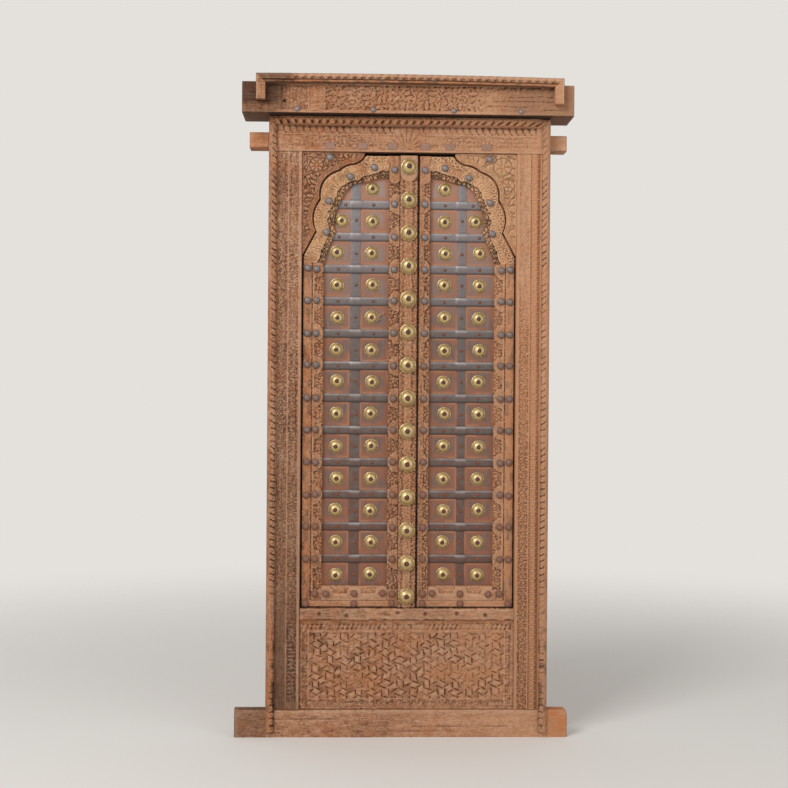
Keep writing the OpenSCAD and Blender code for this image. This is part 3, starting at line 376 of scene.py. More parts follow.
def domes(places, y, profile, segments, uneven=0.0, seed=0, rim=0.0):
    """Turned heads: a profile of radius and height, rim to middle, carried round each place in the X-Z
    plane. The relief attribute falls from the rim's value to 0 in the middle."""
    radius, height = np.array(profile, float).T
    angle = np.linspace(0, 2 * np.pi, segments, endpoint=False)
    count, rings = len(places), len(radius)
    number = np.arange(count)[:, None, None]
    swell = 1 + uneven * (noise(2 * np.cos(angle) + 9 + 7.3 * number, 2 * np.sin(angle) + 5, seed) - 0.5)
    tilt = 0.12 * (chance(number, 3, seed) - 0.5) * np.cos(angle - 6.28 * chance(number, 5, seed))
    reach = radius[None, :, None] * swell
    x = places[:, 0, None, None] + reach * np.cos(angle)
    z = places[:, 1, None, None] + reach * np.sin(angle)
    flat = (height / max(height.max(), 1e-9))[None, :, None]
    depth = np.broadcast_to(np.reshape(y, (-1, 1, 1)), (count, 1, 1))
    level = depth - height[None, :, None] * (1 + uneven * flat * (chance(number, 1, seed) - 0.5))
    level = level + tilt * reach * flat
    body = np.stack([x, level + 0 * x, z], -1).reshape(count, rings * segments, 3)
    top = level[:, -1:, :].mean(-1)
    tips = np.stack([places[:, :1], top, places[:, 1:]], -1).reshape(count, 1, 3)
    points = np.concatenate([body, tips], 1).reshape(-1, 3)
    at = np.arange(rings * segments).reshape(rings, segments)
    after = np.roll(at, -1, 1)
    quads = np.stack([at[:-1], after[:-1], after[1:], at[1:]], -1).reshape(-1, 4)
    tip = np.full(segments, rings * segments)
    fans = np.stack([at[-1], after[-1], tip], -1)
    start = np.arange(count) * (rings * segments + 1)
    every = (start[:, None, None] + quads).reshape(-1, 4)
    caps = (start[:, None, None] + fans).reshape(-1, 3).tolist() + (start[:, None] + at[0, ::-1]).tolist()
    share = np.concatenate([np.repeat(rim * radius / radius.max(), segments), [0]])
    return {"points": points, "quads": every, "caps": caps, "relief": np.tile(share, count),
            "tint": np.zeros(len(points))}


def places(node):
    """Where a node's shanks end: the middles of the clusters of its rearmost points, in X and Z."""
    skin, reach = 0.3 * MM, 9 * MM
    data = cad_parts[node].data
    points = np.empty(3 * len(data.vertices), np.float32)
    data.vertices.foreach_get("co", points)
    points = points.reshape(-1, 3).astype(float)
    rest = points[points[:, 1] > points[:, 1].max() - skin][:, [0, 2]]
    found = []
    while len(rest):
        near = np.hypot(*(rest - rest[0]).T) < reach
        found.append((rest[near].min(0) + rest[near].max(0)) / 2)
        rest = rest[~near]
    return np.array(sorted(map(tuple, found)))


def make(name, parts, material, body, nodes, sharp=38):
    """Joins the parts in one mesh, smooth but for edges over the sharp angle, and hands it to its body."""
    points, faces, start = [], [], 0
    for part in parts:
        points.append(part["points"])
        faces += (part["quads"] + start).tolist()
        faces += [[int(k) + start for k in cap] for cap in part["caps"]]
        start += len(part["points"])
    mesh = bpy.data.meshes.new(name)
    mesh.from_pydata(np.concatenate(points).tolist(), [], faces)
    mesh.validate()
    mesh.shade_smooth()
    mesh.set_sharp_from_angle(angle=math.radians(sharp))
    for key in ("relief", "tint"):
        values = np.concatenate([part[key] for part in parts]).astype(np.float32)
        mesh.attributes.new(key, "FLOAT", "POINT").data.foreach_set("value", values)
    mesh.materials.append(material)
    piece = bpy.data.objects.new(name, mesh)
    bpy.context.scene.collection.objects.link(piece)
    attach(piece, body)
    if nodes:
        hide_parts(*nodes)
    return piece


# Outlines of the arches

def arc_line(p, q, rise, count=24):
    """A shallow arc from p to q that bulges to the left: a chord plus a parabola of the given rise."""
    t = np.linspace(0, 1, count)[:, None]
    way = q - p
    side = np.array([-way[1], way[0]]) / np.hypot(*way)
    return p + way * t + side * 4 * rise * t * (1 - t)


def even(line, count):
    """The line's points at equal steps of its length."""
    steps = np.concatenate([[0], np.cumsum(np.hypot(*np.diff(line, axis=0).T))])
    at = np.linspace(0, steps[-1], count)
    return np.stack([np.interp(at, steps, line[:, k]) for k in (0, 1)], -1)


def chained(lines, counts):
    """One line of several, each with its own number of points, without the doubled joints."""
    parts = [even(line, count) for line, count in zip(lines, counts)]
    return np.concatenate([parts[0]] + [part[1:] for part in parts[1:]])


def field_edge(name):
    """u of the field's meeting side."""
    return HALF - abs(edge(name + "_field_sheet", 1 if name == "left" else 0, "X"))


def field_u():
    """u of the field's hinge side."""
    return HALF + edge("left_field_sheet", 0, "X")


def batten_u(name):
    """u of a hinge batten's side by the jamb."""
    return HALF - abs(edge(name + "_hinge_batten", 0 if name == "left" else 1, "X"))


def inner_stretches(name):
    """The stretches of an arch's inner line between its cusps, from foot to crown."""
    ends = np.concatenate([[[field_u(), -ARCH_FOOT]], INNER_CUSPS,
                           [[field_edge(name), edge(name + "_field_sheet", 1, "Z") - HEAD_LOW]]])
    return [arc_line(p, q, rise) for p, q, rise in zip(ends[:-1], ends[1:], INNER_RISES)]


def outer_stretches():
    """The stretches of the cusped line that a spandrel follows, from the jamb to the head."""
    lines = [arc_line(p, q, rise) for p, q, rise in zip(OUTER_CUSPS[:-1], OUTER_CUSPS[1:], OUTER_RISES)]
    return lines[:-2] + [np.concatenate([lines[-2], lines[-1][1:]])]


def on_side(name, u):
    """X of a distance from the jamb's inner face."""
    return SIDES[name] * (HALF - u)


# Materials

def feed(node, inputs):
    """Sets or links a node's inputs, each given by name or number."""
    for key, value in dict(inputs).items():
        if isinstance(value, bpy.types.NodeSocket):
            node.id_data.links.new(value, node.inputs[key])
        else:
            node.inputs[key].default_value = value


def add(tree, kind, inputs=(), **settings):
    """Adds a node, sets its settings and feeds its inputs."""
    node = tree.nodes.new(kind)
    for key, value in settings.items():
        setattr(node, key, value)
    feed(node, inputs)
    return node


def start_material(name):
    """A new material with its node tree, its shader, and the piece's own coordinates."""
    material = bpy.data.materials.new(name)
    material.use_nodes = True
    tree = material.node_tree
    shader = tree.nodes["Principled BSDF"]
    return material, tree, shader, add(tree, "ShaderNodeTexCoord").outputs["Object"]


def opaque(rgb):
    """A colour with an alpha of 1."""
    return (*rgb[:3], 1.0)


def mixed(tree, factor, first, second):
    """The colour that a Mix node gives for a factor and two colours."""
    return add(tree, "ShaderNodeMix", {0: factor, 6: first, 7: second},
               data_type="RGBA").outputs[2]


def teak(name, body, grain, dark, light, wear=0.5, foot=0.0):
    """Old teak, sawn and carved by hand, never varnished: open grain a few millimetres wide, flecked with
    pores, pinker and greyer where it is worn, orange where it is newer, dark in the pits with grime and
    painted shade, and painted shade and dark stains where the tint attribute is below 0. Painted light
    makes it lighter towards the right, and it is darker towards the foot. The grain axis is 0 for X or 2 for
    Z."""
    finish = bpy.context.scene.window_finish
    material, tree, shader, place = start_material(name)
    grain_w, grain_l, patch, warm_patch, knob, pore = 4.5 * MM, 40 * MM, 110 * MM, 55 * MM, 12 * MM, 5.5 * MM
    scale = [1 / grain_w] * 3
    scale[grain] = 1 / grain_l
    stretched = add(tree, "ShaderNodeMapping", {"Vector": place, "Scale": scale}).outputs["Vector"]
    fibre = add(tree, "ShaderNodeTexNoise", {"Vector": stretched, "Scale": 1.0, "Detail": 5.0,
                                             "Roughness": 0.65}).outputs["Fac"]
    stain, warmth, knobs, pores = (
        add(tree, "ShaderNodeTexNoise", {"Vector": place, "Scale": 1 / size, "Detail": detail,
                                         "Roughness": 0.62}).outputs["Fac"]
        for size, detail in ((patch, 5.0), (warm_patch, 4.0), (knob, 3.0), (pore, 2.0)))
    ramp = add(tree, "ShaderNodeValToRGB", {"Fac": fibre})
    ramp.color_ramp.elements[0].position = 0.28
    ramp.color_ramp.elements[0].color = opaque(dark)
    ramp.color_ramp.elements[1].position = 0.76
    ramp.color_ramp.elements[1].color = opaque(light)
    ramp.color_ramp.elements.new(0.48).color = opaque(body)
    tone = ramp.outputs["Color"]

    def blended(value, low, high, most, other):
        """The tone, mixed with another colour as the value goes from low to high."""
        share = add(tree, "ShaderNodeMapRange", {"Value": value, "From Min": low, "From Max": high,
                                                 "To Min": 0.0, "To Max": most}).outputs["Result"]
        return mixed(tree, share, tone, opaque(other))

    tone = blended(stain, 0.48, 0.66, 0.5, light)
    tone = blended(stain, 0.48, 0.3, 0.55, dark)
    tone = blended(warmth, 0.5, 0.64, 0.75, finish.warm)
    tone = blended(knobs, 0.5, 0.3, 0.6, dark)
    tone = blended(knobs, 0.55, 0.74, 0.4, light)
    tone = blended(pores, 0.42, 0.26, 0.75, finish.dirt_and_shade)
    tone = blended(pores, 0.55, 0.72, 0.5, light)
    across = add(tree, "ShaderNodeSeparateXYZ", {"Vector": place})
    # Painted light: lighter towards the right side.
    tone = blended(across.outputs["X"], -0.15, 0.5, 0.6, finish.painted_light_right)
    # Darker towards the foot.
    tone = blended(across.outputs["Z"], 1.5, 0.1, foot, finish.low)
    relief = add(tree, "ShaderNodeAttribute", attribute_name="relief").outputs["Fac"]
    tone = blended(relief, 0.06, 0.6, wear, light)
    # Pits darken with grime and painted shade.
    tone = blended(relief, -0.08, -0.85, 0.76, finish.dirt_and_shade)
    tint = add(tree, "ShaderNodeAttribute", attribute_name="tint").outputs["Fac"]
    tone = blended(tint, 0.0, 1.0, 0.9, finish.fresh)
    # Tint below 0 darkens: painted shade in gaps, joints, undersides and deep pits, and dark stains.
    tone = blended(tint, 0.0, -1.0, 0.97, finish.dirt_and_shade)
    bumps = add(tree, "ShaderNodeMath", {0: fibre, 1: knobs}, operation="ADD").outputs[0]
    bumps = add(tree, "ShaderNodeMath", {0: bumps, 1: pores}, operation="ADD").outputs[0]
    bump = add(tree, "ShaderNodeBump", {"Strength": 1.0, "Distance": 2.8 * MM, "Height": bumps})
    coarse = add(tree, "ShaderNodeMapRange", {"Value": knobs, "To Min": 0.6, "To Max": 0.9}).outputs["Result"]
    feed(shader, {"Base Color": tone, "Roughness": coarse, "Normal": bump.outputs["Normal"],
                  "Specular IOR Level": 0.3})
    return material


def forged_iron(name, body, rust, rusty, metallic=0.4, dryness=0.0):
    """Iron forged by hand and left bare: dull dark grey, with a painted highlight along upper edges and
    painted shade, nearly black, at its lower edges, both by the relief attribute, with soft hammer hollows
    about 20 mm across and matt rust, more of it towards the window's foot."""
    material, tree, shader, place = start_material(name)
    hollow, fleck = 20 * MM, 5 * MM
    dusty, painted_highlight, painted_shade = (opaque(linear(code)) for code in ("#918a8e", "#aca6a5", "#2b211d"))
    broad = add(tree, "ShaderNodeTexNoise", {"Vector": place, "Scale": 1 / hollow, "Detail": 5.0,
                                             "Roughness": 0.65}).outputs["Fac"]
    fine = add(tree, "ShaderNodeTexNoise", {"Vector": place, "Scale": 1 / fleck, "Detail": 3.0,
                                            "Roughness": 0.6}).outputs["Fac"]
    relief = add(tree, "ShaderNodeAttribute", attribute_name="relief").outputs["Fac"]
    height = add(tree, "ShaderNodeSeparateXYZ", {"Vector": place}).outputs["Z"]
    damp = add(tree, "ShaderNodeMapRange", {"Value": height, "From Min": 1.6, "From Max": 0.5,
                                            "To Min": -0.12, "To Max": 0.3}).outputs["Result"]
    soaked = add(tree, "ShaderNodeMath", {0: broad, 1: damp}, operation="ADD").outputs[0]
    spread = add(tree, "ShaderNodeMapRange", {"Value": soaked, "From Min": 0.62 - 0.3 * rusty,
                                              "From Max": 0.9 - 0.3 * rusty, "To Max": 0.9}).outputs["Result"]
    shade = mixed(tree, fine, opaque(np.array(body) * 0.6), opaque(np.array(body) * 1.35))
    dry = add(tree, "ShaderNodeMapRange", {"Value": height, "From Min": 1.3, "From Max": 1.75,
                                           "To Min": 0.0, "To Max": dryness}).outputs["Result"]
    shade = mixed(tree, dry, shade, dusty)
    tone = mixed(tree, spread, shade, opaque(rust))
    # Painted highlight where the relief is above 0 (straps' upper edges and humps), painted shade where it is
    # below 0 (lower edges, under cross straps, nail rims).
    bright = add(tree, "ShaderNodeMapRange", {"Value": relief, "To Max": 0.75}).outputs["Result"]
    black = add(tree, "ShaderNodeMapRange", {"Value": relief, "From Max": -1.0,
                                             "To Max": 0.85}).outputs["Result"]
    tone = mixed(tree, bright, tone, painted_highlight)
    tone = mixed(tree, black, tone, painted_shade)
    shine = add(tree, "ShaderNodeMapRange", {"Value": spread, "To Min": metallic,
                                             "To Max": 0.0}).outputs["Result"]
    coarse = add(tree, "ShaderNodeMapRange", {"Value": spread, "To Min": 0.45,
                                              "To Max": 0.8}).outputs["Result"]
    bumps = add(tree, "ShaderNodeMath", {0: broad, 1: fine}, operation="ADD").outputs[0]
    bump = add(tree, "ShaderNodeBump", {"Strength": 0.6, "Distance": 1.6 * MM, "Height": bumps})
    feed(shader, {"Base Color": tone, "Metallic": shine, "Roughness": coarse,
                  "Normal": bump.outputs["Normal"]})
    return material


def cast_brass(name):
    """Brass cast as a shell and rubbed by hands: satin straw yellow on the dome with a clear highlight,
    olive and speckled towards the rim, with faint hammer marks."""
    finish = bpy.context.scene.window_finish
    material, tree, shader, place = start_material(name)
    dent, speck, tarnish = 9 * MM, 4 * MM, opaque(linear("#5f4826"))
    broad = add(tree, "ShaderNodeTexNoise", {"Vector": place, "Scale": 1 / dent, "Detail": 4.0,
                                             "Roughness": 0.6}).outputs["Fac"]
    fine = add(tree, "ShaderNodeTexNoise", {"Vector": place, "Scale": 1 / speck,
                                            "Detail": 2.0}).outputs["Fac"]
    rim = add(tree, "ShaderNodeAttribute", attribute_name="relief").outputs["Fac"]
    near = add(tree, "ShaderNodeMapRange", {"Value": rim, "From Min": 0.6, "From Max": 0.95,
                                            "To Min": 0.0, "To Max": 0.2}).outputs["Result"]
    dull = add(tree, "ShaderNodeMath", {0: fine, 1: near}, operation="ADD").outputs[0]
    spread = add(tree, "ShaderNodeMapRange", {"Value": dull, "From Min": 0.54, "From Max": 0.78,
                                              "To Min": 0.0, "To Max": 0.75}).outputs["Result"]
    tone = mixed(tree, spread, opaque(finish.brass), tarnish)
    coarse = add(tree, "ShaderNodeMapRange", {"Value": broad, "From Min": 0.3, "From Max": 0.8,
                                              "To Min": 0.36, "To Max": 0.58}).outputs["Result"]
    bumps = add(tree, "ShaderNodeMath", {0: broad, 1: fine}, operation="ADD").outputs[0]
    bump = add(tree, "ShaderNodeBump", {"Strength": 0.5, "Distance": 1.2 * MM, "Height": bumps})
    feed(shader, {"Base Color": tone, "Metallic": 0.7, "Roughness": coarse, "Normal": bump.outputs["Normal"],
                  "Coat Weight": 0.7, "Coat Roughness": 0.3})
    return material


def rusted_sheet(name):
    """Sheet iron rolled thin, with a dry mauve-grey patina: salmon towards the top, brown rust beside
    straps and wood with a bright orange line at their edges, and paler scuffs down it."""
    finish = bpy.context.scene.window_finish
    material, tree, shader, place = start_material(name)
    bloom, streak_w, streak_l = 26 * MM, 5 * MM, 40 * MM
    pale, brown, orange, bright = (opaque(linear(code))
                                   for code in ("#a1897f", "#91593c", "#a96f4f", "#c48a63"))
    broad = add(tree, "ShaderNodeTexNoise", {"Vector": place, "Scale": 1 / bloom, "Detail": 6.0,
                                             "Roughness": 0.68}).outputs["Fac"]
    scale = (1 / streak_w, 1 / streak_w, 1 / streak_l)
    stretched = add(tree, "ShaderNodeMapping", {"Vector": place, "Scale": scale}).outputs["Vector"]
    streak = add(tree, "ShaderNodeTexNoise", {"Vector": stretched, "Scale": 1.0,
                                              "Detail": 4.0}).outputs["Fac"]
    rust = add(tree, "ShaderNodeAttribute", attribute_name="relief").outputs["Fac"]
    line = add(tree, "ShaderNodeAttribute", attribute_name="tint").outputs["Fac"]
    soaked = add(tree, "ShaderNodeMath", {0: broad, 1: rust}, operation="ADD").outputs[0]
    spread = add(tree, "ShaderNodeMapRange", {"Value": soaked, "From Min": 0.5, "From Max": 0.9,
                                              "To Min": 0.0, "To Max": 0.8}).outputs["Result"]
    height = add(tree, "ShaderNodeSeparateXYZ", {"Vector": place}).outputs["Z"]
    salmon = add(tree, "ShaderNodeMapRange", {"Value": height, "From Min": 1.3, "From Max": 1.8,
                                              "To Min": 0.0, "To Max": 0.75}).outputs["Result"]
    grey = mixed(tree, streak, opaque(np.array(finish.sheet) * 0.45), opaque(np.array(finish.sheet) * 1.5))
    grey = mixed(tree, salmon, grey, pale)
    edge_rust = mixed(tree, salmon, brown, orange)
    tone = mixed(tree, spread, grey, edge_rust)
    tone = mixed(tree, line, tone, bright)
    torn = add(tree, "ShaderNodeMapRange", {"Value": line, "From Max": -1.0}).outputs["Result"]
    tone = mixed(tree, torn, tone, opaque(finish.dirt_and_shade))
    bump = add(tree, "ShaderNodeBump", {"Strength": 0.6, "Distance": 1.2 * MM, "Height": broad})
    feed(shader, {"Base Color": tone, "Metallic": 0.1, "Roughness": 0.6, "Normal": bump.outputs["Normal"]})
    return material


def finishes():
    """Makes every material of the window once, by name."""
    f = bpy.context.scene.window_finish
    upright, level = 2, 0
    teak("weathered_teak_sawn_level", f.teak, level, f.teak_dark, f.teak_light, 0.4, 0.05)
    teak("weathered_teak_sawn_upright", f.teak, upright, f.teak_dark, f.teak_light, 0.45, 0.6)
    teak("weathered_teak_carved_level", f.carved, level, linear("#7c5136"), f.teak_light, 0.55, 0.15)
    teak("weathered_teak_carved_upright", f.carved, upright, linear("#7c5136"), f.teak_light, 0.4, 0.2)
    teak("sandy_teak_carved", f.sandy, upright, linear("#a4744c"), linear("#e2bd9a"), 0.6, 0.0)
    forged_iron("wrought_iron_forged_strap", f.iron, f.rust, 0.42, 0.4, 0.5)
    forged_iron("wrought_iron_forged_nail", np.array(f.iron) * 1.5, linear("#8a5942"), 0.5, 0.25, 0.5)
    forged_iron("wrought_iron_worn_plate", linear("#94705e"), linear("#8a5c46"), 0.55, 0.0)
    forged_iron("wrought_iron_rusted_pin", linear("#4a342b"), linear("#5e3529"), 0.7, 0.1)
    forged_iron("wrought_iron_rusted_rivet", linear("#6e4636"), linear("#83492f"), 0.7, 0.1)
    cast_brass("brass_cast_rubbed")
    rusted_sheet("sheet_iron_rolled_rusted")


def paint(name):
    """The finished material of that name."""
    return bpy.data.materials[name]


def dress(node, name):
    """Gives a node of the frame the finished material of that name alone."""
    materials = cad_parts[node].data.materials
    materials.clear()
    materials.append(paint(name))


# Carving of the frame

def jamb(name, carving):
    """A jamb's face, outwards from the opening: a fillet, a leafy band, a rib and a second band. The
    ground lies at the carving depth, times one less the leaves' height. A thin liner, near black as
    painted shade, closes the joint by the heel."""
    side = SIDES[name]
    width, tall = FRAME_HALF - HALF, HEAD_LOW - SILL_TOP
    fillet, rib, rib_w, outer = 11 * MM, 43 * MM, 4 * MM, 80 * MM
    u, v = grid(width, tall, carving.coarse)
    out, z = u * width, SILL_TOP + v * tall
    worn = 0.65 + 0.5 * noise(out / 0.05, z / 0.13, 3 + side)
    inner_band, outer_band = between(fillet, rib, out), between(rib + rib_w, outer, out)
    if side < 0:
        low = 1 - ease(RAIL_LOW - 0.02, RAIL_TOP + 0.05, z)
        first = foliage(out, z, (18 * MM, 9 * MM), 1.57, 3.6, 11)
        second = foliage(out, z, (16 * MM, 8.5 * MM), 1.57, 3.6, 12)
        stroke = foliage(out, z, (26 * MM, 7 * MM), 0.5, 1.6, 13)
        foot = ease(SILL_TOP + 0.015, SILL_TOP + 0.04, z)
        first = np.maximum(first * (1 - low) + stroke * low * foot, 1 - foot)
        second = np.maximum(second, 0.85 * low)
        tint = -0.22 * low * outer_band - 0.06 * outer_band - 0.04 - 0.25 * low * inner_band * (1 - first)
    else:
        flow = foliage(out, z, (17 * MM, 8.5 * MM), 1.57, 3.4, 21)
        plain = 0.5 + 0.4 * rough(out, z / 4, 8 * MM, 22)
        first = np.maximum(plain * ease(1.3, 1.6, z), flow)
        first = np.minimum(first, 1 - 0.6 * crown((out - 30 * MM) / (1.6 * MM)))
        petal = np.hypot((np.mod(z / (17 * MM), 1) - 0.5) * 17, (out - rib - 17 * MM) / MM * 0.62)
        zig = np.mod(z / (17 * MM) + 0.5, 1) - 0.5
        second = np.maximum(crown(petal / 7.6), leaf(zig / 0.26, (out - rib - 17 * MM) / (17 * MM)))
        tint = 0.28 + 0.1 * outer_band - 0.3 * ease(1.3, 1.6, z) * inner_band
    depth = (1.05 + 0.2 * side) * carving.frame_depth * worn
    cut = depth * (inner_band * (1 - first) + outer_band * (1 - second))
    cut = cut + 1.6 * MM * valley(out, outer, 1.6 * MM) + worn_edge(out, radius=4 * MM)
    cut = cut + hollows(0.9 * MM, out, z / 3, 11 * MM, 5)
    face = slab(side * (HALF + out), z, FRONT + cut, BACK, standing(cut) + 0.3 * (side > 0), tint)
    inside, outside = sorted((side * (HALF - 1.8 * MM), side * HALF))
    # The liner's tint of -1 paints the joint's shade near black.
    liner = beam((inside, 0.0, RAIL_TOP + 2 * MM), (outside, BACK - 5 * MM, HEAD_LOW - 2 * MM),
                 50 * MM, 2, -1.0)
    return [face, liner]


def roll_pattern(along, across, carving, upper):
    """Depth on a roll: a smooth bead on the outer side, then round petals with a dark crescent between, or
    on the upper roll slanting leaf-shaped pits between leaf lines. across runs from the outer side, 0, to
    1."""
    stray = along + 7 * MM * (noise(along / (31 * MM), across * 4, 17) - 0.5)
    petal_unit = np.mod(2 * stray / carving.roll_pitch, 1)
    groove = valley(across, 0.3, 0.035)
    t = np.clip((across - 0.3) / 0.7, 0, 1)
    if upper:
        pit = leaf((t - 0.58) / 0.4, (np.mod(stray / (27 * MM), 1) - 0.5 + 0.4 * (t - 0.58)) / 0.22)
        lines = crown(2 * (np.mod(stray / (13.5 * MM) + 0.8 * t, 1) - 0.5))
        return 7 * MM * pit + 3.6 * MM * (1 - lines) * ease(0, 0.1, t) * (1 - pit) + 1.2 * MM * groove
    petal = np.hypot((petal_unit - 0.42) / 0.44, (t - 0.5) / 0.52)
    vein = crown((petal_unit - 0.42) / 0.12) * between(0.3, 0.75, t, 0.1)
    return (4.4 * MM * ease(0.72, 1.1, petal) + 1.4 * MM * vein) * ease(0.06, 0.3, t) + 1.2 * MM * groove


def side_roll(name, carving):
    """A half-round bar up the jamb, its radius less the pattern's depth, mitred at the head."""
    side = SIDES[name]
    lift, foot = 1 * MM, ROLL_FOOT + 8 * MM
    tall = HEAD_TOP - foot
    u, v = grid(np.pi * ROLL_R * 1.1, tall, carving.coarse)
    along = foot + v * tall
    worn = (0.3 + 1.0 * noise(along / 0.05, along * 0, 8)) * (0.85 - 0.15 * side)
    if side < 0:
        worn = worn * (0.3 + 0.7 * ease(0.25, 0.7, along + 0.1 * noise(along / 0.03, u * 3, 4)))
        worn = np.maximum(worn, 0.9 * (1 - ease(0.14, 0.2, along)))
    cut = roll_pattern(along, u, carving, False) * worn * between(-0.02, 1.02, u, 0.1)
    cut = cut + hollows(1.3 * MM, u * 0.05, along / 2, 10 * MM, 14)
    r, angle = ROLL_R - cut, np.pi * u
    out = ROLL_X + r * np.cos(angle)
    z = foot + v * (tall - (FRAME_HALF - out))
    low = 1 - ease(0.2, 0.75, along)
    shade = (0.1 + 0.35 * low * (side < 0)) * (u < 0.6) - (0.12 + 0.4 * low * (side < 0)) * ease(0.6, 0.9, u)
    shade = shade - 0.5 * ease(0.5, 0.8, noise(along / 0.02, u * 5, 16)) * (0.4 + 0.6 * low)
    return slab(side * out, z, FRONT - lift - r * np.sin(angle) * (1 - lift / ROLL_R), FRONT,
                standing(cut, 3, 2.4 * MM), shade)


def top_roll(carving):
    """The same bar along the head, with slanting pits, standing further out between its mitred ends."""
    u, v = grid(np.pi * ROLL_R * 1.1, 2 * FRAME_HALF, carving.fine)
    along = (2 * v - 1) * FRAME_HALF
    lift = 1 * MM + 13 * MM * (1 - ease(FRAME_HALF - 70 * MM, FRAME_HALF - 20 * MM, np.abs(along)))
    cut = roll_pattern(along, u, carving, True) * (0.65 + 0.6 * noise(along / 0.03, u * 3, 9))
    cut = cut * between(-0.02, 1.02, u, 0.1) + hollows(0.7 * MM, along / 3, u * 0.05, 10 * MM, 15)
    r, angle = ROLL_R - cut, np.pi * u
    z = HEAD_TOP - ROLL_R + r * np.cos(angle)
    x = (2 * v - 1) * (FRAME_HALF - (HEAD_TOP - z))
    # The deepest pits darken with grime and painted shade; the middle band is orange.
    tint = 0.45 * ease(0.3, 0.5, u) * (1 - ease(0.8, 0.95, u)) - 0.55 * ease(3 * MM, 6 * MM, cut)
    return slab(x, z, FRONT - lift - r * np.sin(angle) * (1 - 1 * MM / ROLL_R), FRONT, standing(cut), tint)


def head(carving):
    """The head's face: plain below, leaf strokes, an incised line, a row of upright leaves and the roll's
    seat, with a palmette of strokes fanned from its foot in the middle."""
    tall = HEAD_TOP - HEAD_LOW
    u, v = grid(tall, 2 * FRAME_HALF, 0.9 * carving.fine)
    x, up = (2 * v - 1) * FRAME_HALF, u * tall
    cells = np.mod(x / carving.tooth_pitch, 1) - 0.5
    teeth_low, teeth_high, line, foot = 61 * MM, 87 * MM, 55 * MM, 8 * MM
    t = (up - (teeth_low + teeth_high) / 2) / ((teeth_high - teeth_low) / 2)
    knob = 0.7 * crown(np.hypot((np.abs(cells) - 0.5) / 0.25, (t + 0.8) / 0.5))
    tooth = np.maximum(leaf(t / 1.1, (cells + 0.12 * t) / 0.42), knob)
    carved_x = 1 - ease(0.415, 0.43, np.abs(x))
    worn = 0.5 + 0.7 * noise(x / 0.06, up / 0.06, 36)
    cut = 3.8 * MM * worn * (1 - tooth) * between(teeth_low, teeth_high, up) * carved_x
    strokes = foliage(x, up, (25 * MM, 10 * MM), 0.8, 2.4, 31)
    field = between(foot + 8 * MM, line - 2 * MM, up) * carved_x
    cut = cut + 2.6 * MM * field * (1 - strokes) * (0.25 + noise(x / 0.07, up / 0.05, 33))
    cut = cut + 2.2 * MM * valley(up, line, 1.7 * MM) * carved_x
    a, b = x + 12 * MM, up - foot
    r, angle = np.hypot(a, b), np.arctan2(b, a)
    fan = crown(np.mod(angle * 10 / np.pi, 1) * 2 - 1) * crown((r - 44 * MM) / (36 * MM))
    inside = between(-46 * MM, 46 * MM, a) * between(foot, teeth_high, up)
    cut = cut * (1 - inside) + inside * 3.2 * MM * (1 - np.maximum(fan, crown(r / (10 * MM))))
    cut = cut + worn_edge(up, radius=4 * MM) + hollows(1.0 * MM, x / 3, up, 14 * MM, 34)
    # Painted shade: the bottom 3 mm of the face and the underside behind it darken towards black between the
    # jambs.
    tint = -0.85 * (1 - ease(0, 3 * MM, up)) * (np.abs(x) < HALF)
    return slab(x, HEAD_LOW + up, FRONT + cut, BACK, standing(cut), tint)


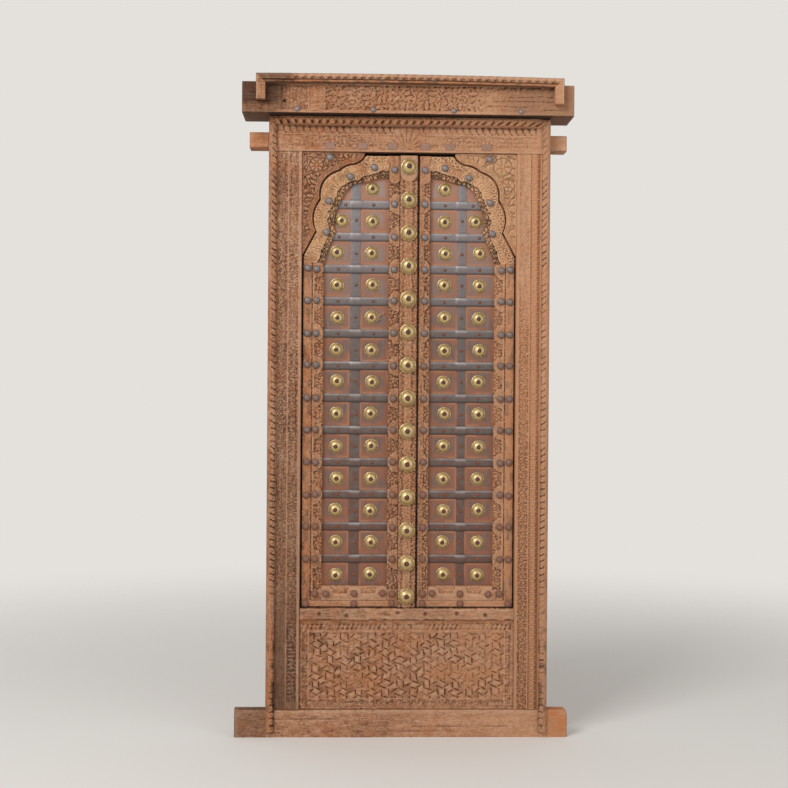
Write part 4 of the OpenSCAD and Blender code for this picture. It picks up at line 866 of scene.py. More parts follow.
def lintel(carving):
    """The lintel's face: plain ends, a worn scroll, a burst of large slanting leaves, dense slanting leaves
    that fade to the right, and cracks along the grain."""
    low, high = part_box("lintel")
    tall, wide = high.z - low.z, high.x - low.x
    u, v = grid(tall, wide, 0.8 * carving.fine)
    x, up = low.x + v * wide, u * tall
    bottom, top = 10 * MM, 93 * MM
    band = between(bottom, top, up, 2.5 * MM)
    scroll = foliage(x, up, (24 * MM, 11 * MM), 0.9, 3.0, 41)
    burst = foliage(x, up, (54 * MM, 18 * MM), 0.9, 1.5, 43)
    dense = foliage(x, up, (38 * MM, 14 * MM), 0.85, 1.7, 42)
    blend = ease(-0.225, -0.2, x)
    under = 0.6 * foliage(x, up, (30 * MM, 12 * MM), 2.4, 1.4, 45)
    main = np.maximum(burst * (1 - blend) + dense * blend, under)
    left = between(-0.418, -0.335, x, 4 * MM)
    carved = between(-0.281, 0.47, x, 3 * MM)
    worn_x = ease(0.2, 0.29, x + 0.03 * noise(up / 0.02, x / 0.03, 6))
    fade = 1 - 0.6 * worn_x * (1 - ease(0.8, 0.95, up / top))
    cut = band * (left * 3 * MM * (1 - scroll) + carved * 5.2 * MM * fade * (1 - main))
    lines = valley(x, -0.421, 3 * MM) + valley(x, -0.33, 1.6 * MM)
    lines = lines + valley(x, -0.322, 1.6 * MM) * 0.5
    cut = cut + 1.8 * MM * lines * band
    cracks = [(0.25, 0.5, 44 * MM), (0.3, 0.52, 60 * MM), (0.24, 0.42, 27 * MM), (-0.55, -0.44, 38 * MM),
              (-0.54, -0.43, 66 * MM), (0.42, 0.53, 20 * MM)]
    cut = cut + 2.2 * MM * scored(x, up, cracks, 50)
    cut = cut + worn_edge(up, x - low.x, high.x - x, radius=4 * MM)
    cut = cut + hollows(1.1 * MM, x / 3, up, 14 * MM, 44)
    hole = 1 - ease(4 * MM, 7 * MM, np.hypot(x + 0.413, up - 38 * MM))
    ends = ease(0.4, 0.46, -x + 0.02 * noise(up / 0.02, x / 0.03, 7))
    ends = ends * (0.6 + 0.4 * ease(20 * MM, 40 * MM, up))
    tint = -0.82 * ends - 0.08 * left - 0.3 * valley(x, -0.421, 5 * MM) * band - 0.9 * hole
    tint = tint - 0.32 * ease(0.2, 0.4, x) + 0.34 * carved * band * (1 - ease(0.2, 0.3, x))
    # Painted shadow: the bottom 2.2 mm and the underside darken nearly to black, most between the frame's
    # sides.
    tint = np.minimum(tint, -(0.6 + 0.35 * (np.abs(x) < FRAME_HALF)) * (1 - ease(0, 2.2 * MM, up)))
    return slab(x, low.z + up, low.y + cut, high.y, standing(cut, 4, 3.9 * MM), tint)


def cornice(part, carving):
    """A length of the trim: wavy leaves with a comma pit in each over a bead, mitred between strip and legs.
    The legs are plain. part is 0 for the strip, -1 and 1 for the legs."""
    low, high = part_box("cornice_strip")
    foot = edge("left_cornice_leg", 0, "Z") - 8 * MM
    stretch = 3 * MM
    middle, outer = (low.x + high.x) / 2 + stretch, (high.x - low.x) / 2 + stretch
    band = high.z - low.z
    reach = 2 * outer if part == 0 else high.z - foot
    u, v = grid(band, reach, carving.fine)
    across = u * band
    if part == 0:
        z = low.z + across
        along = (2 * v - 1) * (outer - (high.z - z))
        x = middle + along
    else:
        x = middle + part * (outer - band + across)
        along = foot + v * (high.z - (band - across) - foot)
        z = along
    bead = 9 * MM
    worn = 1 - 0.8 * ease(0.36, 0.42, -x) if part == 0 else np.zeros_like(x)
    unit = np.mod(along / (27 * MM) + 0.25, 1)
    wave = across - bead - 11 * MM - 4 * MM * np.sin(2 * np.pi * unit)
    leafy = crown(wave / (7 * MM)) * (1 - 0.4 * crown(wave / (2 * MM)))
    comma = leaf((unit - 0.6) / 0.34, (across - bead - 5 * MM) / (6 * MM))
    cut = worn * ease(bead, bead + 2 * MM, across) * (3.2 * MM * (1 - leafy) + 4.4 * MM * comma)
    rounded = (1 - ease(bead, bead + 1 * MM, across)) * 4 * MM * (1 - crown(across / bead * 2 - 1))
    spots = ease(0.55, 0.7, noise(along / (16 * MM), across / (9 * MM), 60))
    cut = cut + (part == 0) * (rounded + 1.6 * MM * spots * (across < bead))
    cut = cut + (part == 0) * 3 * MM * valley(across, bead, 1.5 * MM)
    cut = cut + worn_edge(band - across, radius=4 * MM) + hollows(0.9 * MM, x, z, 9 * MM, 61)
    tint = 0.6 * (1 - ease(bead - 1 * MM, bead, across)) * worn * (1 - 1.6 * spots)
    dark_end = ease(0.36, 0.42, -x + 0.02 * noise(x / 0.02, z / 0.01, 62))
    tint = tint - 0.6 * dark_end * (part == 0) - 0.15 * (part == -1)
    # Painted shadow: a dark line along the strip's lower edge.
    tint = np.where((across < 1.5 * MM) & (part == 0), -0.6, tint)
    relief = np.where((across < bead) & (part == 0), -0.3, standing(cut, 3, 2.4 * MM))
    bowed = 4 * MM + 4 * MM * (1 - (x / outer) ** 2) - 2 * MM * x / outer
    return slab(x, z + bowed, low.y + cut, high.y, relief, tint)


def apron(carving):
    """The apron's face: a fillet, a row of slanting leaves above, leaf strokes at the sides and foot, and
    woven straps whose lines stray by noise, as cut by hand."""
    low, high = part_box("apron_panel")
    wide, tall = 2 * HALF, RAIL_LOW - SILL_TOP
    u, v = grid(tall, wide, carving.fine)
    x, up = (2 * v - 1) * HALF, u * tall
    stray = 9 * MM
    lattice = weave(x + stray * rough(x, up, 40 * MM, 66), up - tall / 2 + stray * rough(x, up, 40 * MM, 67),
                    carving.lattice_pitch, carving.lattice_bar)
    worn = np.clip(1.6 * noise(x / 0.05, up / 0.04, 68), 0.5, 1.15)
    border, fillet, row_top = 30 * MM, 7 * MM, 36 * MM
    sides, top = np.minimum(x + HALF, HALF - x), tall - up
    strokes = foliage(x, up, (22 * MM, 10 * MM), 0.8, 1.6, 65)
    t = (top - 24 * MM) / (11 * MM)
    row_leaves = leaf(t, (np.mod(x / (15 * MM) + 0.3 * t, 1) - 0.5) / 0.44)
    field = between(border, 2 * HALF - border, x + HALF, 3 * MM)
    field = field * between(33 * MM, tall - row_top - 6 * MM, up, 3 * MM)
    side_band = between(fillet, border - 3 * MM, sides) * between(12 * MM, tall - row_top, up)
    top_band = between(14 * MM, row_top - 2 * MM, top) * between(6 * MM, 2 * HALF - 6 * MM, x + HALF)
    foot_row = between(11 * MM, 31 * MM, up) * (sides > border)
    cut = field * carving.lattice_depth * worn * (1 - lattice)
    cut = cut + (side_band * 2.6 * MM + foot_row * 2.6 * MM) * (1 - strokes)
    cut = cut + top_band * 2.6 * MM * worn * (1 - row_leaves)
    half_flower = between(-27 * MM, 27 * MM, x + 8 * MM, 2 * MM) * between(14 * MM, row_top - 2 * MM, top)
    flower = rosette(x + 8 * MM, top - row_top, 23 * MM, 10)
    cut = cut * (1 - half_flower) + half_flower * 2.8 * MM * (1 - flower)
    cut = cut + hollows(2.6 * MM, x, up, 15 * MM, 64)
    cut = cut + 2 * MM * valley(up, 8 * MM, 1.5 * MM) + 2 * MM * valley(top, 12 * MM, 1.5 * MM)
    tint = 0.35 * (top < 11 * MM) + 0.15 * between(row_top, row_top + 6 * MM, top) - 0.5 * (top < 2.2 * MM)
    tint = tint + field * (0.35 * rough(x, up, 60 * MM, 69) + 0.08)
    return slab(x, SILL_TOP + up, low.y + cut, high.y, standing(cut, 5), tint)


def sill():
    """The sill: a weathered front board with a horn at each end, the right one newer and rounded at its
    upper corner, and the block behind it."""
    low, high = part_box("sill_beam")
    depth, corner, step = 40 * MM, 14 * MM, 4 * MM
    u, v = grid(SILL_TOP, high.x - low.x, step)
    x = low.x + v * (high.x - low.x)
    ceiling = SILL_TOP - corner * (1 - crown(np.clip((x - high.x + corner) / corner, 0, 0.999)))
    up = u * ceiling
    cut = hollows(1.8 * MM, x / 8, up, 24 * MM, 71)
    cracks = [(-0.5, -0.1, 60 * MM), (0.0, 0.35, 35 * MM), (-0.3, 0.2, 20 * MM)]
    cut = cut + 2 * MM * scored(x, up, cracks, 72)
    cut = cut + worn_edge(ceiling - up, x - low.x, high.x - x, radius=5 * MM)
    newer = ease(FRAME_HALF - 4 * MM, FRAME_HALF + 4 * MM, x)
    tint = (0.7 + 0.7 * rough(x, up, 26 * MM, 73)) * newer - 0.35 * ease(0.46, 0.47, -x)
    board = slab(x, up, low.y + cut, low.y + depth, standing(cut), tint)
    block = beam((-FRAME_HALF, low.y + depth, 0), (FRAME_HALF, high.y, SILL_TOP), 30 * MM, 0)
    return [board, block]


def rail():
    """The rail under the shutters: a board with ragged edges, hollows and the round dents of old nails."""
    wide, tall = 2 * HALF, RAIL_TOP - RAIL_LOW
    u, v = grid(tall, wide, 2.6 * MM)
    x, up = (2 * v - 1) * HALF, u * tall
    dents = np.zeros_like(x)
    for place, height in ((-0.29, 21), (-0.2, 14), (-0.03, 24), (0.06, 20), (0.165, 22), (0.26, 17)):
        dents = np.maximum(dents, crown(np.hypot(x - place, up - height * MM) / (8 * MM)))
    ragged = 5 * MM * rough(x, up, 24 * MM, 76)
    cut = hollows(2.4 * MM, x / 2, up, 18 * MM, 74) + 2.6 * MM * dents
    cut = cut + worn_edge(up + ragged, tall - up + ragged, radius=5 * MM)
    tint = -0.1 - 0.35 * dents + 0.3 * rough(x, up, 40 * MM, 75)
    return slab(x, RAIL_LOW + up, FRONT + cut, BACK, standing(cut), tint)


# Carving of the shutters

def spandrel(name, carving):
    """A spandrel between the cusped line and the corner of jamb and head: a rim with incised lines along the
    cusps, a rosette, and leaves on a sunk ground. Rows follow the line and columns run to the corner."""
    stretches = outer_stretches()
    counts = [40, 54, 66, 46]
    line = chained(stretches, counts)
    cusps = OUTER_CUSPS
    walls = [np.array([[0, p[1]], [0, q[1]]]) for p, q in zip(cusps[:2], cusps[1:3])]
    walls.append(np.array([[0, cusps[2, 1]], [0, 0], [cusps[3, 0], 0]]))
    walls.append(np.array([[cusps[3, 0], 0], [cusps[-1, 0], 0]]))
    corner = chained(walls, counts)
    line, corner = line[2:-2], corner[2:-2]
    t = np.linspace(0, 1, 80)[None, :]
    u = line[:, :1] + (corner[:, :1] - line[:, :1]) * t
    drop = line[:, 1:] + (corner[:, 1:] - line[:, 1:]) * t
    from_line = np.hypot(*(corner - line).T)[:, None] * t
    rim = 17 * MM
    inside = ease(rim - 1.5 * MM, rim + 1 * MM, from_line)
    inside = inside * ease(3 * MM, 6 * MM, u) * ease(3 * MM, 6 * MM, -drop)
    size, lean, flower_r, petals = (30 * MM, 13 * MM), 1.2, 23 * MM, 8
    if name == "right":
        size, lean, flower_r, petals = (42 * MM, 24 * MM), 2.0, 29 * MM, 7
    leaves = foliage(u, drop, size, lean, 2.8, 81 + SIDES[name])
    flower = rosette(u - ROSETTE[0], drop - ROSETTE[1], flower_r, petals)
    round_flower = np.hypot(u - ROSETTE[0], drop - ROSETTE[1])
    motif = np.where(round_flower < flower_r + 2 * MM, flower, leaves)
    if name == "right":
        second = np.hypot(u - 27 * MM, drop + 104 * MM)
        motif = np.where(second < 21 * MM, rosette(u - 27 * MM, drop + 104 * MM, 19 * MM, 6), motif)
    pad = 1 - ease(12 * MM, 14 * MM, np.hypot(u - 90 * MM, drop + 17 * MM))
    cut = (0.62 - 0.12 * SIDES[name]) * carving.spandrel_depth * inside * (1 - np.maximum(motif, pad))
    stray = from_line + 3 * MM * rough(u, drop, 18 * MM, 85)
    lines = sum(valley(stray, at, 1.5 * MM) for at in (5 * MM, 10.5 * MM, 15.5 * MM))
    cut = cut + 2.4 * MM * lines + worn_edge(from_line, radius=3 * MM)
    cut = cut + hollows(0.8 * MM, u, drop, 12 * MM, 84)
    tint = 0.1 * (1 - inside) + 0.5 * (1 - ease(6 * MM, 13 * MM, round_flower))
    tint = tint - (0.04 if name == "left" else 0.14)
    return slab(on_side(name, u), HEAD_LOW + drop, SPANDREL_Y + cut, SPANDREL_BACK, standing(cut, 3), tint)


def arch(name, carving):
    """An arch between its inner and outer cusped lines, matched cusp to cusp. Across it, from the inner
    edge: a low knobbed step, fish-scale arcs, and on the outer side pits and leaves, or ringed petals on
    the right. Rows run foot to crown."""
    counts = [64, 60, 70, 56]
    inner = chained(inner_stretches(name), counts)
    gap, wall_u = SPANDREL_GAP, batten_u(name)
    top = LEAF_TOP - HEAD_LOW
    shifted = [line + np.array([gap, -gap]) for line in outer_stretches()]
    first = np.concatenate([[[wall_u, -ARCH_FOOT]], np.maximum(shifted[0], [wall_u, -1])])
    last = np.minimum(shifted[3], [1, top])
    last = np.concatenate([last, [[field_edge(name), top]]])
    outer = chained([first, shifted[1], shifted[2], last], counts)
    t = np.linspace(0, 1, 60)[None, :]
    u = inner[:, :1] + (outer[:, :1] - inner[:, :1]) * t
    drop = inner[:, 1:] + (outer[:, 1:] - inner[:, 1:]) * t
    steps = np.hypot(*np.diff((inner + outer) / 2, axis=0).T)
    s = np.concatenate([[0], np.cumsum(steps)])[:, None] + 0 * t
    wide = np.hypot(*(outer - inner).T)[:, None]
    across = wide * t
    from_outer = wide - across
    ledge = 1.6 * ARCH_STEP
    step = ease(ledge - 2 * MM, ledge + 1.5 * MM, across + 6 * MM * rough(u, drop, 14 * MM, 93))
    knobs = foliage(u, drop, (17 * MM, 11 * MM), 0.8, 4.0, 94)
    row = 24 * MM
    body = np.clip((across - ledge) / np.maximum(wide - ledge - row, 1 * MM), 0, 1)
    bow = 18 * MM * (2 * body - 1) ** 2
    arcs = np.mod((s + bow) / carving.scale_pitch, 1)
    scales = ease(0, 0.35, arcs) * (1 - ease(0.6, 1.0, arcs))
    unit = (np.mod(s / carving.petal_pitch, 1) - 0.5) * carving.petal_pitch
    if name == "left":
        edging = foliage(u, drop, (16 * MM, 9 * MM), 0.9, 4.0, 95)
        edging = edging * ease(0.2, 0.5, noise(u / 0.012, drop / 0.012, 96))
    else:
        ring = np.hypot(unit, from_outer - 13 * MM)
        edging = np.maximum(crown((ring - 6.5 * MM) / (2.8 * MM)), crown(ring / (2.5 * MM)))
        edging = np.where(ring < 10 * MM, edging, foliage(u, drop, (14 * MM, 8 * MM), 0.9, 4.0, 95))
    outer_row = between(2 * MM, row, from_outer, 2.5 * MM)
    middle = step * (1 - outer_row)
    worn = 0.55 + 0.7 * noise(u / 0.04, drop / 0.04, 91)
    cut = (1 - step) * (0.8 * LAYER + 4 * MM * (1 - knobs))
    scales = scales * (0.4 + 0.6 * noise(u / 0.012, drop / 0.012, 98))
    cut = cut + worn * step * outer_row * 3.4 * MM * (1 - edging) + worn * middle * 3 * MM * (1 - scales)
    cut = cut + worn_edge(from_outer, radius=3 * MM) + hollows(0.9 * MM, u, drop, 9 * MM, 92)
    clump = 0.25 + 0.5 * ease(0.3, 0.6, noise(u / 0.045, drop / 0.045, 97))
    # The recessed inner step darkens in clumps: dark wood and painted shade.
    tint = -clump * (1 - step) * (1 - 0.4 * knobs) + 0.06 * outer_row + 0.1 * (1 - step) * knobs
    return slab(on_side(name, u), HEAD_LOW + drop, OVERLAY_Y + cut, PLANK_Y, standing(cut, 3, 2.4 * MM), tint)


def pitted(a, b, seed):
    """The crumbs and pits of a hollowed ground, 0 in the pits to 1: small leaves turned every way."""
    return np.clip(foliage(a, b, (14 * MM, 9 * MM), 0, 6.28, seed) + 0.5 * rough(a, b, 12 * MM, seed), 0, 1)


def hinge_batten(name, carving):
    """A hinge batten: a rounded plain bar by the jamb, a groove, a narrow spine, and round lobes at the
    strap rows over a pitted lower layer. A lobe is where the distance to its centre is under the scallop
    radius."""
    start, end = batten_u(name), field_u()
    wide, tall = end - start, ARCH_Z - BAND_Z
    u, v = grid(wide, tall, carving.fine)
    q, z = start + u * wide, BAND_Z + v * tall
    bar = 1 - ease(start + STRIP_W - 1 * MM, start + STRIP_W + 1 * MM, q)
    groove = between(start + STRIP_W, start + STRIP_W + STRIP_GROOVE + 1.5 * MM, q, 1 * MM)
    stray = q + 3 * MM * rough(q, z, 12 * MM, 104)
    spine = 1 - ease(start + STRIP_W + 8 * MM, start + STRIP_W + 11 * MM, stray)
    nearest = STRAP_Z[np.argmin(np.abs(z[..., None] - STRAP_Z[STRAP_Z < ARCH_Z - 12 * MM]), -1)]
    depth_in = SCALLOP_R - np.hypot(q - (end - SCALLOP_R), z - nearest) + 3 * MM * rough(q, z, 14 * MM, 105)
    foot = 1 - ease(BAND_Z + 34 * MM, BAND_Z + 36 * MM, z)
    lobe = np.maximum(ease(-2 * MM, 2 * MM, depth_in), foot)
    raised = np.maximum(bar, np.maximum(spine, lobe) * (1 - groove))
    outline = valley(depth_in, 6 * MM, 1.6 * MM) * (1 - bar) * (1 - spine)
    crownness = 1 - crown((q - start - STRIP_W / 2) / (STRIP_W / 2 + 1 * MM))
    ground = pitted(q, z, 101 + SIDES[name])
    cut = (1 - raised) * (0.3 * LAYER + 3.6 * MM * (1 - ground)) + 0.9 * MM * outline * lobe
    cut = cut + 1.2 * MM * (1 - bar) * raised * (1 - ground) + bar * 3 * MM * crownness
    cut = cut + hollows(1.9 * MM, q, z / 2, 10 * MM, 103)
    tint = bar * (0.3 - 0.6 * ease(0.5, 0.8, noise(q / 0.012, z / 0.03, 106)))
    # The pits of the ground darken with grime and painted shade; the crumbs turn orange.
    tint = tint + (1 - raised) * (0.65 - 0.15 * SIDES[name]) * (ground - 0.35)
    # Painted shade: the edge by the jamb darkens, so the joint reads black.
    tint = tint - 0.5 * (1 - ease(0, 2.3 * MM, q - start))
    return slab(on_side(name, q), z, OVERLAY_Y + cut, PLANK_Y, standing(cut, 3), tint)


def meeting_batten(name, carving):
    """A meeting batten: lobes at the nails with an outline, a pad at the top with a rounded foot, and a
    pitted lower layer between. On the right a plain strip runs beside the astragal."""
    low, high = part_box(name + "_meeting_batten")
    first, last = sorted((HALF - abs(low.x), HALF - abs(high.x)))
    wide, tall = last - first, high.z - low.z
    u, v = grid(wide, tall, carving.fine)
    q, z = first + u * wide, low.z + v * tall
    strip = ease(last - wide / 2 - 1 * MM, last - wide / 2 + 1 * MM, q) * (name == "right")
    nearest = STRAP_Z[np.argmin(np.abs(z[..., None] - STRAP_Z), -1)]
    depth_in = SCALLOP_R - np.hypot(q - (first + SCALLOP_R), z - nearest) + 3 * MM * rough(q, z, 14 * MM, 115)
    pad_z = high.z - 92 * MM + wide / 2
    pad = np.where(z > pad_z, 1, ease(-1 * MM, 1 * MM, wide / 2 - np.hypot(q - first - wide / 2, z - pad_z)))
    foot = 1 - ease(low.z + 34 * MM, low.z + 36 * MM, z)
    lobe = np.maximum(ease(-2 * MM, 2 * MM, depth_in), np.maximum(pad, foot))
    raised = np.maximum(strip, lobe)
    outline = valley(depth_in, 6 * MM, 1.6 * MM) * (1 - strip) * (1 - pad) * (1 - foot)
    seam = valley(q, last - wide / 2, 1.2 * MM) * (name == "right") * (1 - pad)
    ground = pitted(q, z, 111 + SIDES[name])
    cut = (1 - raised) * (0.3 * LAYER + 3.6 * MM * (1 - ground)) + 0.9 * MM * outline * lobe + 1.2 * MM * seam
    cut = cut + (1.2 + 1.4 * strip) * MM * raised * (1 - pad) * (1 - ground)
    cut = cut + hollows(1.2 * MM, q, z / 2, 10 * MM, 113) + worn_edge(q - first, last - q, radius=2 * MM)
    # The pits of the ground darken with grime and painted shade; the crumbs turn orange.
    tint = (1 - raised + strip) * (0.8 * ground - 0.35 - 0.2 * (1 - strip)) + 0.06 * pad
    return slab(on_side(name, q), z, OVERLAY_Y + cut, PLANK_Y, standing(cut, 3), tint)


def foot_band(name):
    """The band over a shutter's foot: a raised lower strip and a low lobe at each nail over a pitted
    layer."""
    low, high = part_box(name + "_foot_band")
    wide, tall = high.x - low.x, high.z - low.z
    u, v = grid(tall, wide, 2.2 * MM)
    x, z = low.x + v * wide, low.z + u * tall
    nails = np.linspace(low.x + 14 * MM, high.x - 14 * MM, 3)
    nearest = nails[np.argmin(np.abs(x[..., None] - nails), -1)]
    depth_in = tall / 2 - np.hypot(x - nearest, z - low.z - 22 * MM)
    raised = np.maximum(ease(-1 * MM, 1 * MM, depth_in), 1 - ease(low.z + 21 * MM, low.z + 23 * MM, z))
    outline = valley(depth_in, 5 * MM, 1.3 * MM)
    ground = pitted(x, z, 121)
    cut = (1 - raised) * (0.25 * LAYER + 2.4 * MM * (1 - ground)) + 0.7 * MM * outline
    cut = cut + hollows(1.1 * MM, x / 2, z, 10 * MM, 122) + worn_edge(high.z - z, radius=2 * MM)
    return slab(x, z, low.y + cut, high.y, standing(cut) + 0.3, (1 - raised) * 0.34 * ground)


def astragal(carving):
    """The astragal: a round pad under each boss, a worn ridge between, a plain block with a rounded foot
    at the top, and pitted sides on a lower layer."""
    low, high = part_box("astragal")
    wide, tall = high.x - low.x, high.z - low.z
    middle, drop = (low.x + high.x) / 2, 10 * MM
    u, v = grid(wide, tall, carving.fine)
    x, z = low.x + u * wide, low.z + v * tall
    bosses = np.sort(places("astragal_pins")[:, 1])
    nearest = bosses[np.argmin(np.abs(z[..., None] - bosses), -1)]
    pad_r = wide / 2 - 1 * MM
    depth_in = pad_r - np.hypot(x - middle, z - nearest)
    block_z = high.z - 86 * MM + pad_r
    block = np.where(z > block_z, 1, ease(-1 * MM, 1 * MM, pad_r - np.hypot(x - middle, z - block_z)))
    ridge = 1 - ease(9 * MM, 15 * MM, np.abs(x - middle) + 4 * MM * rough(x, z, 12 * MM, 134))
    pad = ease(-2 * MM, 2 * MM, depth_in + 3 * MM * rough(x, z, 14 * MM, 135))
    raised = np.maximum(np.maximum(pad, block), ridge)
    outline = valley(depth_in, 3.5 * MM, 1.3 * MM) * (1 - block)
    ground = pitted(x, z, 131)
    cut = (1 - raised) * (0.35 * drop + 3.6 * MM * (1 - ground)) + 1.1 * MM * outline
    cut = cut + raised * (1 - block) * 2.6 * MM * (1 - ground)
    cut = cut + hollows(1.2 * MM, x, z / 2, 11 * MM, 133) + worn_edge(x - low.x, high.x - x, radius=2 * MM)
    # The pits of the ground darken with grime and painted shade.
    tint = (1 - raised) * (0.8 * ground - 0.3) + 0.2 * ridge * ground
    # Painted shade: both long edges darken, so the gaps beside the astragal read black.
    tint = tint - 0.5 * (1 - ease(0, 2.3 * MM, np.minimum(x - low.x, high.x - x)))
    return slab(x, z, low.y + cut, high.y, standing(cut, 3) + 1.0 * block + 0.12, tint)


# Iron of the shutters

def field_top(name):
    """The inner line of the arch as rising u and height, from the field's hinge side to its meeting side."""
    line = np.concatenate(inner_stretches(name))
    order = np.argsort(line[:, 0], kind="stable")
    return line[order, 0], HEAD_LOW + line[order, 1]


def field_sheet(name):
    """The sheet iron field: flat, with faint dents, up to the arch's inner line. The relief attribute
    holds the rust, which grows towards straps and wood, and the tint a bright line beside them."""
    first, last = field_u(), field_edge(name)
    tall, step = 1.36, 3.7 * MM
    u, v = grid(last - first, tall, step)
    q = first + u * (last - first)
    ceiling = np.interp(q, *field_top(name))
    z = FIELD_Z + v * (ceiling - FIELD_Z)
    away = np.abs(z[..., None] - STRAP_Z).min(-1) - STRAP_W / 2
    upright, half_strap = (first + last) / 2, 0.47 * STRAP_W
    if name == "left":
        upright, half_strap = upright - 3 * MM, 0.6 * STRAP_W
    away = np.minimum(away, np.abs(q - upright) - half_strap)
    away = np.minimum(away, np.minimum(np.minimum(q - first, last - q), ceiling - z))
    rust = 0.4 * (1 - ease(0, 26 * MM, away + 22 * MM * rough(q, z, 30 * MM, 143)))
    rust = rust + 0.14 * (1 - ease(0.5, 1.1, z))
    line = 0.55 * valley(away, 3 * MM, 2.4 * MM) * ease(0.25, 0.7, noise(q / 0.05, z / 0.05, 144))
    along, off = turned(q, z, (0.262, 1.39), 0.9)
    off = off + 8 * MM * (noise(along / (9 * MM), along * 0, 145) - 0.5)
    tear = valley(off, 0, 2.2 * MM) - 0.6 * valley(off, 5 * MM, 3 * MM)
    tear = tear * between(-0.025, 0.025, along, 6 * MM) * (name == "left")
    dent = 0.35 * MM * rough(q, z, 45 * MM, 141 + SIDES[name])
    return slab(on_side(name, q), z, SHEET_Y + np.abs(dent), PLANK_Y, rust, line - 0.9 * tear)


def strap_face(off, half_width):
    """The depth of a forged strap's face: a low crown across it, from the distance off its middle."""
    return 2.4 * MM * (1 - crown(0.97 * off / half_width))


def upright_strap(name):
    """The upright strap up the middle of the field, to the arch's inner line."""
    low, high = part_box(name + "_upright_strap")
    middle = HALF - abs(low.x + high.x) / 2
    wide = (1.2 if name == "left" else 0.95) * STRAP_W
    u, v = grid(wide, high.z - low.z, 4 * MM)
    off = (u - 0.5) * wide
    q = middle + off - 3 * MM * (name == "left")
    ceiling = np.interp(q, *field_top(name))
    z = low.z + v * (ceiling - low.z)
    cut = 0.6 * strap_face(off, wide / 2) + hollows(0.5 * MM, q, z, 16 * MM, 151)
    # Painted shade: the relief falls below 0 beside the cross straps, darkening the strap where they cross
    # over it.
    away = np.abs(z[..., None] - STRAP_Z).min(-1) - STRAP_W / 2
    return slab(on_side(name, q), z, UPRIGHT_Y + cut, SHEET_Y, -0.4 * (1 - ease(0, 6 * MM, away)))


def cross_strap(name, row):
    """A cross strap, forged up in a hump over the upright strap, and cut to the arch's inner line. The
    relief attribute paints a highlight along its upper edge and on the hump, and paints shade at its lower
    edge."""
    last = field_edge(name)
    middle = (field_u() + last) / 2
    rise, ramp = STRAP_W / 2, 7 * MM
    u, v = grid(STRAP_W, last - field_u(), 3.1 * MM)
    off = (u - 0.5) * STRAP_W
    z = STRAP_Z[row] + off
    line_u, line_z = field_top(name)
    first = np.where(z > ARCH_Z, np.interp(z, line_z, line_u), field_u())
    q = first + v * (last - first)
    hump = 1 - ease(rise, rise + ramp, np.abs(q - middle))
    cut = strap_face(off, STRAP_W / 2) + hollows(0.6 * MM, q, z, 18 * MM, 161 + row)
    # Painted highlight on the upper edge and hump; painted shade towards the lower edge.
    painted_highlight = valley(off, 10.5 * MM, 2.4 * MM) * (0.2 + 0.7 * noise(q / 0.04, z / 0.02, 170 + row))
    painted_highlight = painted_highlight + 0.5 * hump * valley(off, 8 * MM, 4 * MM)
    return slab(on_side(name, q), z, STRAP_Y + hump * (HUMP_Y - STRAP_Y) + cut, SHEET_Y,
                painted_highlight - 0.8 * ease(6 * MM, STRAP_W / 2, -off))


BOSS_PROFILE = np.array([[1.0, 0.0], [1.0, 0.07], [0.965, 0.12], [0.9, 0.13], [0.865, 0.17], [0.83, 0.29],
                         [0.74, 0.47], [0.62, 0.65], [0.48, 0.81], [0.34, 0.92], [0.26, 0.96], [0.13, 1.0]])
DOME_ANGLES = np.radians([0, 12, 28, 45, 62, 77])
DOME_SHARP = 60


def dome_profile(radius, height):
    """A low round head: cosine of the angle for the radius and sine for the height, rim to top."""
    return np.stack([radius * np.cos(DOME_ANGLES), height * np.sin(DOME_ANGLES)], -1)


def make_heads(node, ending, heads, material, body):
    """Makes one piece of turned heads in place of a node, smooth but for their rims."""
    make(node + ending, [heads], material, body, [node], DOME_SHARP)


# Operators

class CarvedWindowOperator:
    """What the operators share: the sizes of the carving."""

    bl_options = {"REGISTER", "UNDO"}

    @property
    def carving(self):
        return bpy.context.scene.window_carving


class CARVEDWINDOW_OT_finishes(CarvedWindowOperator, bpy.types.Operator):
    """Makes the materials"""

    bl_idname = "carved_window.finishes"
    bl_label = "Finishes"

    def execute(self, context):
        finishes()
        return {"FINISHED"}


class CARVEDWINDOW_OT_jambs(CarvedWindowOperator, bpy.types.Operator):
    """Carves the two jambs"""

    bl_idname = "carved_window.jambs"
    bl_label = "Jambs"

    def execute(self, context):
        for name in SIDES:
            make(name + "_jamb_carved", jamb(name, self.carving), paint("weathered_teak_sawn_upright"),
                 "frame", [name + "_jamb"])
        return {"FINISHED"}


class CARVEDWINDOW_OT_rolls(CarvedWindowOperator, bpy.types.Operator):
    """Carves the leaf rolls round the frame"""

    bl_idname = "carved_window.rolls"
    bl_label = "Leaf rolls"

    def execute(self, context):
        for name in SIDES:
            make(name + "_roll_carved", [side_roll(name, self.carving)],
                 paint("weathered_teak_carved_upright"), "frame", [name + "_roll"])
        make("top_roll_carved", [top_roll(self.carving)], paint("weathered_teak_carved_level"),
             "frame", ["top_roll"])
        return {"FINISHED"}


